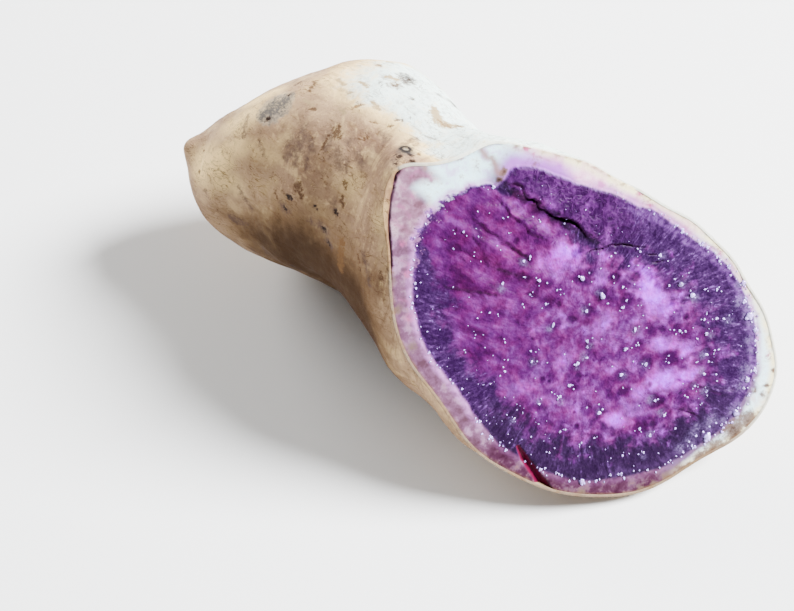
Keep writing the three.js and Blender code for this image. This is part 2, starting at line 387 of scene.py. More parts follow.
# Pale patches of storage flesh: right, above, half length, half width, turn in degrees, strength
LILAC = [
    (-2.2, 15.2, 4.4, 1.8, -9, 1.0), (-3.4, 13.2, 4.8, 2.0, -5, 0.6), (14.9, 4.6, 6.4, 2.9, -64, 1.0),
    (18.6, 0.4, 3.4, 2.2, -30, 0.85), (12.4, 8.8, 3.0, 1.8, -60, 0.6), (17.2, -7.4, 4.2, 1.6, -20, 0.7),
    (21.6, -9.2, 2.4, 1.7, -30, 0.7), (23.4, -12.6, 1.5, 2.4, 0, 0.6), (15.4, -14.8, 4.2, 2.0, 15, 0.85),
    (19.4, -15.6, 4.0, 2.0, 20, 0.9), (11.4, -16.6, 2.4, 1.6, 40, 0.6), (5.4, -21.4, 3.0, 1.6, -18, 0.85),
    (8.5, -20.0, 3.4, 2.0, 10, 0.5), (-20.8, 9.4, 4.6, 1.5, -28, 0.5), (-15.4, 18.8, 4.0, 0.9, -48, 0.5),
    (-6.6, 22.0, 2.6, 1.1, -42, 0.55), (-21.6, 23.4, 3.0, 1.4, -40, 0.45), (-3.6, 17.6, 2.4, 1.2, 10, 0.35),
    (-7.5, -13.8, 3.6, 2.4, 30, 0.45), (-3.5, -6.5, 3.6, 1.6, 15, 0.5), (4.0, -0.5, 3.0, 1.6, 60, 0.5),
    (-3.2, -18.0, 3.4, 2.2, 0, 0.4), (4.2, 8.0, 2.4, 1.6, 20, 0.5), (12.2, -3.4, 3.0, 1.4, 15, 0.35),
    (-12.5, 8.2, 3.0, 1.4, 0, 0.25), (-14.0, -10.5, 3.0, 2.0, 0, 0.35),
]
# Darker places of the inner flesh, set out the same way
DEEP = [
    (-9.0, 20.8, 5.6, 1.5, -43, 1.0), (-20.8, 12.4, 5.0, 1.3, -30, 0.8), (-18.0, 21.4, 5.2, 1.2, -46, 0.55),
    (-25.0, 17.6, 3.2, 1.6, -60, 0.5), (-14.2, 9.6, 3.4, 1.2, -30, 0.5), (16.0, 12.0, 3.6, 1.5, -45, 0.7),
    (-22.0, 2.0, 3.4, 1.6, -20, 0.35), (-9.4, -19.5, 4.2, 1.8, 10, 0.4), (11.0, -22.8, 3.6, 1.4, -10, 0.4),
    (13.6, 17.6, 7.0, 3.4, -36, 0.75), (-27.0, 12.0, 2.6, 4.6, 10, 0.5),
]
# Cracks in the flesh: right, above, half width, depth
CRACKS = [
    [(-12.5, 30.6, 0.1, 0.3), (-11.3, 30.3, 0.5, 0.7), (-9.8, 29.8, 0.45, 0.7), (-9.6, 28.9, 0.15, 0.6),
     (-9.0, 27.7, 0.12, 0.8), (-8.5, 27.0, 0.16, 1.2), (-7.7, 26.8, 0.24, 2.0), (-7.0, 26.0, 0.18, 1.8),
     (-6.3, 24.9, 0.14, 1.4), (-4.9, 23.9, 0.15, 1.6), (-3.1, 22.5, 0.2, 2.0), (-1.9, 21.9, 0.36, 2.8),
     (-0.5, 21.2, 0.42, 3.0), (0.7, 20.7, 0.34, 2.6), (1.7, 19.0, 0.14, 1.4), (2.5, 17.8, 0.1, 0.8),
     (3.1, 17.1, 0.05, 0.3)],
    [(2.1, 14.1, 0.05, 0.3), (3.9, 14.8, 0.1, 0.6), (5.7, 14.6, 0.09, 0.6), (7.4, 15.2, 0.1, 0.8),
     (10.6, 14.7, 0.12, 1.0), (12.1, 14.1, 0.1, 0.7), (14.5, 13.3, 0.05, 0.3)],
    [(14.6, 12.0, 0.06, 0.3), (15.7, 11.6, 0.11, 0.6), (17.2, 11.3, 0.07, 0.3)],
    [(15.8, 10.2, 0.06, 0.3), (17.1, 10.0, 0.1, 0.5), (18.5, 9.9, 0.06, 0.3)],
    [(17.4, -21.3, 0.1, 0.3), (21.7, -23.1, 0.2, 0.7), (23.9, -24.9, 0.1, 0.3)],
    [(27, -18.8, 0.1, 0.2), (32.1, -20.3, 0.15, 0.4)],
    [(-11.3, 8.6, 0.1, 0.2), (-8.9, 7.4, 0.15, 0.4), (-7.4, 6.2, 0.1, 0.2)],
    [(-0.5, -17.2, 0.08, 0.2), (2.4, -19.6, 0.14, 0.4), (6.3, -19.4, 0.08, 0.2)],
    [(13.0, -27.6, 0.08, 0.2), (16.9, -26.9, 0.14, 0.4), (19.0, -27.6, 0.08, 0.2)],
]
# Torn ridges: points (right, above), height and how far the torn flake fades behind it, to the left
RIDGES = [
    ([(-14.1, 26.7), (-15.7, 27.0), (-18.4, 27.9)], 0.3, 1.6),
    ([(-7.3, 19.4), (-9.1, 20.5), (-10.3, 22.6), (-12.2, 24.2), (-13.5, 26.5)], -0.55, 2.0),
    ([(-15.0, 19.6), (-12.9, 18.3), (-11.1, 17.0)], 0.5, 1.8),
    ([(-17.8, 23.3), (-15.6, 20.9), (-12.5, 18.6), (-11.0, 16.9)], 0.6, 2.6),
    ([(-22.1, 22.8), (-20.2, 21.3), (-18.2, 19.6)], 0.4, 2.0), ([(-16.1, 14.6), (-13.6, 13.2)], 0.35, 1.4),
    ([(-25.1, 12.2), (-20.3, 10.5), (-16.9, 9.4)], 0.45, 2.2),
    ([(-26.0, 20.2), (-22.8, 18.0), (-21.6, 15.4)], 0.3, 1.8),
    ([(-9.6, 14.2), (-7.6, 12.4), (-7.8, 10.4)], -0.25, 1.4),
    ([(21.0, -16.0), (25.0, -18.2), (28.6, -20.6)], 0.3, 1.8), ([(14.5, -19.2), (17.2, -21.3)], 0.25, 1.2),
]
# The gap between skin and bark: how far in from the skin it reaches, by angle, how deep and how wide it is.
# The skin's flap reaches in to it.
SLIT = [
    (131, 0.4), (133, 0.85), (135, 1.3), (137, 1.55), (141, 1.5), (144, 1.1), (147, 0.85), (152, 0.7),
    (157, 0.4),
]
SLIT_DEPTH = 1.6
SLIT_WIDTH = 0.36
# The knife's gash across the low left edge: right, above, half width, depth
GASH = [
    (-15.9, -22.9, 0.35, 0.4), (-14.9, -25.6, 0.75, 0.9), (-13.2, -29.0, 0.8, 1.1), (-11.9, -31.6, 0.95, 1.3),
    (-10.6, -34.2, 1.0, 1.4),
]
# Stains in the bark: right, above, radius, strength
PINK_STAINS = [
    (-8.0, 36.8, 0.8, 1.1), (-6.6, 35.6, 0.6, 0.7), (-21.6, 37.2, 0.9, 0.8), (-2.3, 34.0, 0.8, 0.5),
    (14.4, 24.5, 1.2, 0.9), (-20.4, 37.6, 1.0, 0.8), (15.9, 21.8, 1.2, 0.6), (-34.5, 8.0, 1.6, 0.4),
    (-33.6, 17.0, 1.4, 0.5), (31.0, 9.4, 1.0, 0.5), (36.4, 2.0, 0.9, 0.6), (24.0, 14.0, 1.2, 0.4),
    (40.0, -14.0, 1.0, 0.5), (5.0, 30.5, 1.4, 0.4), (10.0, 27.6, 1.2, 0.4), (-34.2, 22.6, 1.1, 0.5),
    (-34.8, 27.2, 0.9, 0.4),
]
BROWN_STAINS = [
    (31.4, -29.4, 3.4, 0.9), (34.4, -27.6, 2.4, 0.8), (31.0, -28.6, 0.8, 1.2), (26.6, -32.4, 2.6, 0.85),
    (29.6, -31.6, 1.2, 0.6), (23.0, -33.4, 1.5, 1.0), (21.4, -35.2, 1.2, 0.9), (25.0, -34.0, 0.7, 1.1),
    (15.8, -36.8, 1.2, 0.7), (18.6, -35.6, 1.4, 0.7), (-3.4, -35.8, 0.8, 0.8), (9.6, -38.2, 1.0, 0.8),
    (12.4, -37.4, 0.8, 0.8), (39.4, -20.8, 0.55, 1.0), (40.9, -17.8, 0.4, 0.9), (36.6, -21.4, 0.7, 0.9),
    (38.2, -22.6, 0.8, 0.6), (42.4, -9.6, 0.5, 0.6), (41.4, -3.6, 0.5, 0.5), (-13.0, 33.0, 0.8, 1.2),
    (-13.8, 31.7, 0.6, 1.0), (-36.6, 10.0, 1.2, 0.6), (-36.8, 16.0, 1.0, 0.5), (-34.8, 2.0, 1.2, 0.5),
    (-22.0, -25.4, 1.0, 0.6), (-29.4, -17.0, 1.2, 0.5),
]
# Thin lines in the bark: points, half width, and maroon (1) or ochre (0)
BARK_LINES = [
    ([(-34.9, 26.3), (-33.1, 25.5), (-32.4, 24.6)], 0.14, 1),
    ([(-34.6, 19.6), (-33.4, 18.6), (-33.5, 16.2)], 0.12, 1),
    ([(-36.0, 12.0), (-34.2, 11.0), (-33.8, 8.4)], 0.16, 1),
    ([(-16.5, 37.7), (-15.8, 36.3), (-14.7, 35.9), (-14.1, 34.3), (-14.0, 33.1)], 0.5, 0),
    ([(-30.6, 34.8), (-29.2, 35.6), (-27.6, 35.0), (-26.8, 33.6)], 0.25, 1),
    ([(-32.8, 33.4), (-31.4, 32.6), (-30.6, 30.8)], 0.2, 1),
    ([(-33.8, 30.0), (-32.6, 29.0), (-31.8, 27.4)], 0.2, 1),
    ([(-31.4, 38.2), (-28.6, 37.6), (-27.6, 36.0)], 0.25, 0),
    ([(-3.4, 33.8), (-7.4, 35.6), (-10.4, 37.4)], 0.16, 1),
    ([(-24.0, 31.0), (-20.4, 30.3), (-18.6, 29.4)], 0.1, 1),
]

# Drops of dried latex in the photo: where they show and how wide they are, in pixels. A width of 0 is a dark
# tube with no drop.
INNER_DROPS_SEEN = [
    (586.7, 311.3, 6), (571.4, 320.4, 0), (587.5, 341, 4), (587.5, 347, 4), (587, 358, 4), (577.5, 364, 5),
    (553, 325, 5), (569.7, 385.5, 5), (539.3, 403.8, 4), (531.6, 361.8, 4), (530.8, 351, 3),
    (507.9, 359.5, 3), (504.8, 371.7, 3), (504, 338.8, 2), (522.4, 304.4, 3), (530, 295.2, 2),
    (546.1, 304.4, 4), (556.8, 289.8, 3), (546.9, 283, 3), (538.5, 279.9, 4), (524.7, 276.8, 3),
    (502.5, 283.5, 4), (489.5, 312.8, 3), (498, 314.3, 2), (477.3, 318.2, 2), (559.9, 397, 4),
    (551.5, 392.4, 2), (522.4, 413, 3), (514, 418.4, 4), (491.8, 438.3, 4), (530.8, 436.7, 2),
    (559.9, 432.2, 4), (581.3, 442.9, 3), (594.3, 438.3, 3), (549.2, 452.8, 2), (578, 455.9, 2),
    (589.5, 457.3, 2), (623, 307.3, 4), (607.7, 303.7, 3), (635.5, 329.3, 5), (646.5, 327.9, 3),
    (662.7, 331.5, 0), (674.4, 330, 3), (680, 331, 4), (686, 331.5, 4), (704.5, 319.8, 4), (701.6, 319.8, 2),
    (717, 318.5, 4), (724, 318.5, 4), (706.7, 334.5, 5), (697.2, 338.9, 3), (625.3, 349.1, 6),
    (636.3, 345.5, 3), (638, 343, 2), (668.5, 355.7, 3), (668.5, 363, 3), (676.6, 361.6, 0),
    (645.8, 364.5, 5), (620.9, 374.8, 5), (623.1, 388, 2), (607, 388, 0), (598.9, 404.4, 3),
    (587.1, 407.8, 3), (602.5, 409.3, 3), (599, 413.5, 5), (655.1, 400.8, 4), (664.2, 415.4, 5),
    (640, 429.1, 4), (649.8, 435.7, 4), (675.4, 428.4, 3), (687.6, 397.6, 3), (684.6, 395.5, 3),
    (695, 386.1, 4), (706.7, 391.7, 4), (700.1, 404.9, 2), (716.2, 374.8, 3), (716.7, 380.7, 3),
    (704.5, 374.1, 4), (697.9, 361.6, 2), (708.9, 361.6, 3), (706.7, 355, 6), (715, 350.5, 3),
    (719, 349.5, 3), (643.6, 452.6, 4), (629, 454, 2), (622.3, 455.8, 3), (668.3, 462.4, 3),
    (564.4, 223.4, 3), (615, 252.8, 3), (640, 251.3, 3), (660.5, 255.7, 4), (582, 278.4, 6), (613.5, 277, 3),
    (632.6, 277, 0), (623, 287.2, 4), (602.5, 296, 7), (626.7, 300.7, 4), (675.2, 279.2, 3),
    (669.3, 285.8, 3), (681, 284.6, 6), (692.8, 295.3, 6), (705.2, 289.7, 3), (717, 289.7, 5),
    (502.4, 217.8, 3), (462.7, 231.3, 3), (454.4, 233.7, 2), (477.9, 236.2, 2), (453.3, 248.8, 3),
    (480.7, 261.4, 2), (477.6, 211.2, 2), (533, 216.8, 2), (540, 221.7, 2), (523.5, 261, 4),
    (529.8, 256.1, 3), (524.2, 277.1, 3), (530.2, 295, 3),
]
RING_DROPS_SEEN = [
    (561.5, 475.3, 4), (581.3, 481.2, 6), (574.2, 478.5, 3), (610.3, 475, 4), (620.9, 474.1, 4),
    (604, 481.6, 2), (647.6, 470.2, 4), (688.5, 441.5, 4.5), (691.7, 445.8, 4), (707.4, 437.2, 9),
    (716, 423, 3), (721, 425, 4), (726, 423, 3), (736, 413, 7.5), (738, 408, 3), (743.4, 388, 5),
    (747, 380, 6), (751, 371, 3), (755.1, 370.4, 5), (749.2, 315.4, 9), (752, 322, 3), (755.8, 330.1, 6),
    (756, 341, 4), (758, 352, 3), (744, 301.5, 5), (674.4, 227.1, 2), (682.5, 232.2, 4), (701.6, 244.7, 5),
    (708, 247.6, 4), (717, 257.2, 4), (719.5, 261, 4), (728.7, 266.3, 5), (730.2, 275.5, 3),
    (743.4, 282.8, 6), (745.6, 299, 5), (749.2, 307, 3), (426, 223.5, 3), (414.7, 237.9, 2), (412.6, 268, 3),
    (411.2, 275, 3), (414.7, 283.5, 4), (416.1, 288.4, 3), (417, 296, 3), (506, 450.5, 4), (491, 437, 4),
    (540, 469.5, 4), (545, 468, 3), (556, 473, 4), (696, 436, 3.5), (703, 432, 3), (709.1, 426.8, 3),
    (683, 452, 3.5),
]


def drops_on_cut(table):
    """Drops as places on the cut (right, above) and radii, in mm."""
    table = np.array(table)
    right, above = seen_on_cut(table[:, :2])
    radius = table[:, 2] * PIXEL_SIZE / 2
    rows = np.stack([right, above, radius], 1).tolist()
    return [(round(x, 1), round(y, 1), round(size, 2)) for x, y, size in rows]


INNER_DROPS = drops_on_cut(INNER_DROPS_SEEN)
RING_DROPS = drops_on_cut(RING_DROPS_SEEN)

# Where the ring is frayed and where the flesh is torn: middle (right, above), half length and half height
FRAYED_ZONE = (-28, 24, 10, 10)
TORN_ZONE = (-15, 17, 11, 9)
SLAB_BACK = (0.626, 0.78)  # the direction straight back from the slab's front line
# How thickly the ring is set with further small drops, by angle
RING_DENSITY = [
    (-180, 0.7), (-150, 0.5), (-130, 0.6), (-100, 0.5), (-75, 0.55), (-55, 0.9), (-40, 1.0), (20, 1.0),
    (40, 0.8), (60, 0.3), (80, 0.1), (130, 0.15), (150, 0.7), (170, 0.7),
]
RING_TRIES = 190
# tries for the tiny white beads that stand in for wet glints, a painted highlight
GLINT_BEAD_TRIES = 260
FAINT_TUBES = 90
LEFT_X, LEFT_SHARE = -12.0, 0.4  # left of this, tubes show less
FINE_DROP = 0.35  # lumps at least this big have a finer mesh


# ---------------------------------------------------------------- fields on the cut
def along_route(right, above, route):
    """Distance to a route of points, the values that the route's other columns have there, and the side."""
    route = np.asarray(route, float)
    best = np.full(right.shape, 1e9)
    values = np.zeros(right.shape + (route.shape[1] - 2,))
    side = np.zeros(right.shape)
    for a, b in zip(route[:-1], route[1:]):
        step = b[:2] - a[:2]
        t = ((right - a[0]) * step[0] + (above - a[1]) * step[1]) / (step @ step)
        t = np.clip(t, 0, 1)
        away_right = right - a[0] - t * step[0]
        away_above = above - a[1] - t * step[1]
        away = np.hypot(away_right, away_above)
        nearer = away < best
        best = np.where(nearer, away, best)
        values[nearer] = (a[2:] + t[:, None] * (b[2:] - a[2:]))[nearer]
        side = np.where(nearer, np.sign(step[0] * away_above - step[1] * away_right), side)
    return best, values, side


def round_patches(right, above, patches):
    """How strongly the round patches of a table show."""
    total = np.zeros(right.shape)
    for x, y, radius, strength in patches:
        total = np.maximum(total, strength * np.exp(-(((right - x) ** 2 + (above - y) ** 2) / radius**2)))
    return total


def oval_patches(right, above, patches):
    """How strongly the oval patches of a table show."""
    found = np.zeros(right.shape)
    for x, y, half_length, half_width, turned, strength in patches:
        c, s = math.cos(math.radians(turned)), math.sin(math.radians(turned))
        u = ((right - x) * c + (above - y) * s) / half_length
        v = ((above - y) * c - (right - x) * s) / half_width
        found = np.maximum(found, strength * np.exp(-((u * u + v * v) ** 1.5)))
    return found


def zone(right, above, x, y, half_length, half_height):
    """1 at the middle of a soft oval, falling to 0 outside it."""
    return np.exp(-(((right - x) / half_length) ** 2) - ((above - y) / half_height) ** 2)


def slit_reach(theta):
    """How far in from the skin the gap beside it reaches."""
    return np.interp(np.degrees(theta), [row[0] for row in SLIT], [row[1] for row in SLIT], left=0, right=0)


def carve_cracks(height, right, above):
    """Cuts the cracks into the height, and gives the painted shade in them, darker where they are deep."""
    painted_crease_shade = np.zeros(right.shape)
    for route in CRACKS:
        away, values, _ = along_route(right, above, route)
        width, depth = 0.8 * values[:, 0], values[:, 1]
        height -= 0.7 * depth * np.clip(1.15 - away / (width + 0.08), 0, 1) ** 0.8
        dark = smoothstep(-away / (width + 0.04), -1.4, -0.8)
        painted_crease_shade = np.maximum(painted_crease_shade, dark * np.minimum(1, depth / 2.4))
    return painted_crease_shade


def raise_ridges(height, right, above, uneven):
    """Raises the torn ridges in the height, and gives the painted shade along them."""
    painted_crease_shade = np.zeros(right.shape)
    for route, rise, fade in RIDGES:
        away, _, side = along_route(right, above, route)
        ends = np.exp(-((np.maximum(away - fade, 0) / 1.2) ** 2))
        behind = side * math.copysign(1, rise)
        lip = np.where(behind > 0, np.exp(-away / fade) * smoothstep(away, 0, 0.25), 0)
        height += 0.7 * abs(rise) * lip * ends
        shaded = np.exp(-((away / 0.4) ** 2)) * np.where(behind > 0, 0.5, 1) * ends
        painted_crease_shade = np.maximum(painted_crease_shade, 0.22 * shaded * (1 + 0.8 * uneven))
    return painted_crease_shade


def tube_fields(right, above):
    """How strongly the dark tubes and the pale rings round them show."""
    tube, rings = np.zeros(right.shape), np.zeros(right.shape)
    for x, y, spread, strength in TUBES:
        away = np.hypot(right - x, (above - y) * 1.15) / spread
        tube = np.maximum(tube, strength * np.exp(-(away**3) * 0.8))
        rings = np.maximum(rings, strength * np.exp(-(((away - 1.25) / 0.3) ** 2)))
    return tube, rings


def bark_line_fields(right, above):
    """How strongly the ochre and the maroon lines of the bark show."""
    found = [np.zeros(right.shape), np.zeros(right.shape)]
    for route, half, is_maroon in BARK_LINES:
        away, _, _ = along_route(right, above, route)
        found[is_maroon] = np.maximum(found[is_maroon], np.exp(-((away / (half * 1.6)) ** 2)))
    return found


def face_fields(right, above):
    """Height of the cut above its plane, and the masks that its colours follow, at places on it."""
    right, above = np.asarray(right, float), np.asarray(above, float)
    radius = np.hypot(right, above)
    theta = np.arctan2(above, right)
    edge = rim_radius(theta) - radius
    frayed = zone(right, above, *FRAYED_ZONE)
    wobble = (0.35 + 0.5 * frayed) * flat_noise(right, above, 3.0, 1, 2)
    ring = edge - by_angle(theta, RING_INSET) + wobble
    tongues = 1 + 0.36 * flat_noise(right, above, 6.0, 2, 3) + 0.08 * flat_noise(right, above, 1.6, 3, 2)
    band = ring / (by_angle(theta, BAND_WIDTH) * np.clip(tongues, 0.45, 1.7))
    inside = smoothstep(ring, -0.2, 0.8)

    warp_right = right + 0.35 * flat_noise(right, above, 1.7, 4, 2)
    warp_above = above + 0.35 * flat_noise(right, above, 1.7, 5, 2)
    height = torn_height(right, above)
    painted_crease_shade = carve_cracks(height, warp_right, warp_above)
    bent_right = warp_right + 0.7 * flat_noise(right, above, 3.4, 17, 2)
    ridge_shade = raise_ridges(height, bent_right, warp_above, flat_noise(right, above, 1.6, 16))
    painted_crease_shade = np.maximum(painted_crease_shade, ridge_shade)

    reach = slit_reach(theta) + 0.16 * flat_noise(right, above, 1.5, 15, 2)
    slit = smoothstep(reach - edge, -0.08, 0.12)
    height -= SLIT_DEPTH * slit
    away, values, _ = along_route(right + 0.5 * (warp_right - right), above, GASH)
    gash = smoothstep(-away / (values[:, 0] + 0.02), -1.25, -0.85)
    height -= values[:, 1] * np.clip(1.1 - away / (values[:, 0] + 0.1), 0, 1) ** 0.7

    behind_slab = (above - SLAB_FROM[1]) * SLAB_BACK[1] + (right - SLAB_FROM[0]) * SLAB_BACK[0]
    slab = smoothstep(behind_slab, -0.6, 0.6) * smoothstep(right, -15, -12.5) * (1 - smoothstep(right, 7, 21))
    slab = slab * smoothstep(above, 12, 18) * inside

    lilac = oval_patches(warp_right, warp_above, LILAC)
    lilac = np.clip(lilac * (1.05 + 0.3 * flat_noise(right, above, 2.2, 6, 2)), 0, 1)
    deep = oval_patches(warp_right, warp_above, DEEP)

    tube, rings = tube_fields(warp_right, warp_above)
    tube = tube * smoothstep(band, 0.25, 0.9)
    rings = rings * smoothstep(band, 0.25, 0.9)
    smear = round_patches(warp_right, warp_above, SMEARS)
    pink = round_patches(warp_right, warp_above, PINK_STAINS) * (1 - smoothstep(ring, -0.3, 0.6))
    brown = round_patches(warp_right, warp_above, BROWN_STAINS) * (1 - smoothstep(ring, -0.6, 0.3))
    ochre_line, maroon_line = bark_line_fields(warp_right, warp_above)

    grain = 0.1 * flat_noise(right, above, 1.3, 7, 2) + 0.05 * flat_noise(right, above, 0.6, 8)
    torn_zone = zone(right, above, *TORN_ZONE)
    flakes = 0.28 * (1 - np.abs(flat_noise(right * 0.8 + above * 0.5, above * 1.4, 4.0, 9, 3))) * torn_zone
    fibres = noise(np.stack([np.cos(theta) * 30, np.sin(theta) * 30, radius * 0.2], 1), 1.0, 10, 2)
    in_band = np.clip(inside * (1 - smoothstep(band, 0.7, 1.1)), 0, 1)
    height += inside * (grain + flakes + 0.06 * fibres * in_band * (1 - slab))
    height += slab * 0.22 * (1 - np.abs(flat_noise(warp_right, warp_above, 1.4, 11, 2)))
    height -= 0.14 * tube - 0.05 * rings
    height += 0.07 * flat_noise(right, above, 5.0, 12, 2) * (1 - inside)
    height -= 0.16 * np.exp(-((ring / 0.5) ** 2)) * (0.6 + 0.4 * flat_noise(right, above, 1.2, 13))
    height -= 0.09 * np.exp(-np.maximum(edge - 0.25, 0) / 0.35)
    height += 0.12 * lilac * flat_noise(right, above, 2.0, 14)

    return height, {
        "edge": edge, "ring": ring, "band": band, "slab": slab, "lilac": lilac, "tube": tube, "rings": rings,
        "painted_crease_shade": np.clip(painted_crease_shade, 0, 1), "slit": slit, "gash": gash, "pink": pink, "brown": brown,
        "maroon": maroon_line, "ochre": ochre_line, "torn": torn_zone, "frayed": frayed,
        "leftward": smoothstep(-right, 2, 22), "smear": smear, "deep": deep,
    }


def place_tubes():
    """Dark latex tubes in the flesh, as places, radii and strengths: one by each drop, and fainter ones."""
    draw = np.random.default_rng(SEED)
    tubes = []
    for x, y, size in INNER_DROPS:
        spread = 0.75 + 1.2 * size + draw.uniform(0, 0.6) if size else draw.uniform(0.9, 1.2)
        aside, turned = draw.uniform(0, 0.45) * spread, draw.uniform(0, 2 * math.pi)
        strength = draw.uniform(0.35, 1.0) * (1 if x > LEFT_X else LEFT_SHARE)
        tubes.append((x + aside * math.cos(turned), y + aside * math.sin(turned), spread, strength))
    for _ in range(FAINT_TUBES):
        x, y = draw.uniform(-26, 30), draw.uniform(-28, 20)
        spread, strength = draw.uniform(0.35, 0.9), draw.uniform(0.3, 0.9)
        tubes.append((x, y, spread, strength * (1 if x > LEFT_X else LEFT_SHARE)))
    return tubes


TUBES = place_tubes()


def place_smears():
    """Thin films of latex beside the bigger drops, as places, radii and strengths."""
    draw = np.random.default_rng(SEED + 4)
    smears = []
    for x, y, size in INNER_DROPS:
        aside, turned = draw.uniform(0.3, 1.2), draw.uniform(0, 2 * math.pi)
        radius, strength, wanted = draw.uniform(0.5, 1.0), draw.uniform(0.5, 1.0), draw.uniform()
        if size >= 0.4 and wanted < 0.6:
            smears.append((x + aside * math.cos(turned), y + aside * math.sin(turned), radius, strength))
    for x, y, _ in RING_DROPS:
        inward, radius, strength = draw.uniform(0.95, 1.0), draw.uniform(0.7, 1.3), draw.uniform(0.5, 1.0)
        if -62 < math.degrees(math.atan2(y, x)) < 5:
            smears.append((x * inward, y * inward, radius, strength))
    return smears


SMEARS = place_smears()


# ---------------------------------------------------------------- meshes
def make_object(name, points, faces, uvs=None, attributes=None):
    """A smooth mesh object from points in millimetres in the row frame."""
    mesh = bpy.data.meshes.new(name)
    mesh.from_pydata((np.asarray(points) * MM).tolist(), [], faces)
    mesh.update()
    mesh.shade_smooth()
    if uvs is not None:
        layer = mesh.uv_layers.new(name="OFBake")
        layer.data.foreach_set("uv", np.asarray(uvs, np.float32).ravel())
    for key, value in (attributes or {}).items():
        value = np.asarray(value, np.float32)
        kind = "FLOAT" if value.ndim == 1 else "FLOAT_VECTOR"
        field = "value" if value.ndim == 1 else "vector"
        mesh.attributes.new(key, kind, "POINT").data.foreach_set(field, value.ravel())
    thing = bpy.data.objects.new(name, mesh)
    bpy.context.scene.collection.objects.link(thing)
    return thing


def grid_normals(points):
    """Outward directions of a grid of points whose rows go round."""
    around = np.roll(points, -1, 1) - np.roll(points, 1, 1)
    along = np.gradient(points, axis=0)
    normal = unit(np.cross(around, along) + 1e-12)
    middle = points.mean(1, keepdims=True)
    if ((points - middle) * normal).sum() < 0:
        normal = -normal
    return normal


def directions(cut_points):
    """The directions of points from the middle of the cut, seen from straight in front of it."""
    theta = np.arctan2(cut_points[:, 1], cut_points[:, 0])
    return np.stack([np.cos(theta), np.sin(theta), np.zeros(len(theta))], 1)


def round_steps(count):
    """For each side of a ring of count vertices: its vertex, the next one, and u at both."""
    for j in range(count):
        yield j, (j + 1) % count, j / count, (j + 1) / count


# ---------------------------------------------------------------- the skin
SPOKES = 455
ROWS = 185
INNER_ROWS = 20
SKIN_THICK = 0.5
SKIN_LIFT = 0.12  # the least height of the skin's inside above the floor
# v runs from the tip (0) to the cut, and the end and the inside have strips of their own
OUTER_V, END_V, INNER_V = 0.86, (0.866, 0.872), (0.88, 0.99)
SEEN_MIDDLE, SEEN_HALF, SEEN_SOFT = 55.0, 60.0, 20.0  # the side that the main view shows, in degrees
SEEN_EXTRA = 1.15  # how many more spokes that side has

# Broad tones of the skin, by kind: x, angle, spread along and round, strength
TONES = {
    # the light tones are partly painted light, making the root end paler as if more strongly lit, and partly
    # cream patches
    "light": [
        (-79, 60, 7, 16, 0.8), (-84, 30, 6, 22, 0.8), (-68, 42, 5, 9, 0.45), (-45, 48, 6, 8, 0.45),
        (-66, 25, 7, 7, 0.3), (-72, 66, 5, 6, 0.5), (-79, 78, 6, 10, 0.9), (-33, 44, 4, 7, 0.4),
        (-76, 22, 7, 9, 0.6), (-80, 32, 6, 14, 0.9), (-76, 42, 6, 9, 0.7), (-38, 73, 4, 4, 0.7),
    ],
    "yellow": [
        (-50, 31, 6, 6, 0.8), (-63, 12, 8, 9, 0.6), (-76, 4, 6, 10, 0.4), (-57, 22, 8, 8, 0.5),
        (-41, 28, 5, 8, 0.3),
    ],
    "pinkish": [
        (-47, 66, 7, 10, 0.75), (-38, 66, 4, 5, 0.7), (-56, 44, 7, 7, 0.5), (-36, 36, 5, 10, 0.5),
        (-56, 60, 6, 8, 0.5), (-62, 50, 4, 6, 0.5), (-36, 78, 4, 5, 0.3), (-44, 76, 5, 6, 0.4),
    ],
    "brown": [
        (-32, 21, 6, 9, 0.8), (-45, 12, 6, 7, 0.2), (-78, -3, 6, 6, 0.4), (-55, 7, 9, 5, 0.15),
        (-71, 17, 7, 7, 0.3), (-45, 44, 5, 6, 0.2), (-76, 0, 6, 7, 0.5), (-33, 24, 6, 7, 0.5),
    ],
    "ochre": [(-43, 15, 5, 6, 0.9)],
}
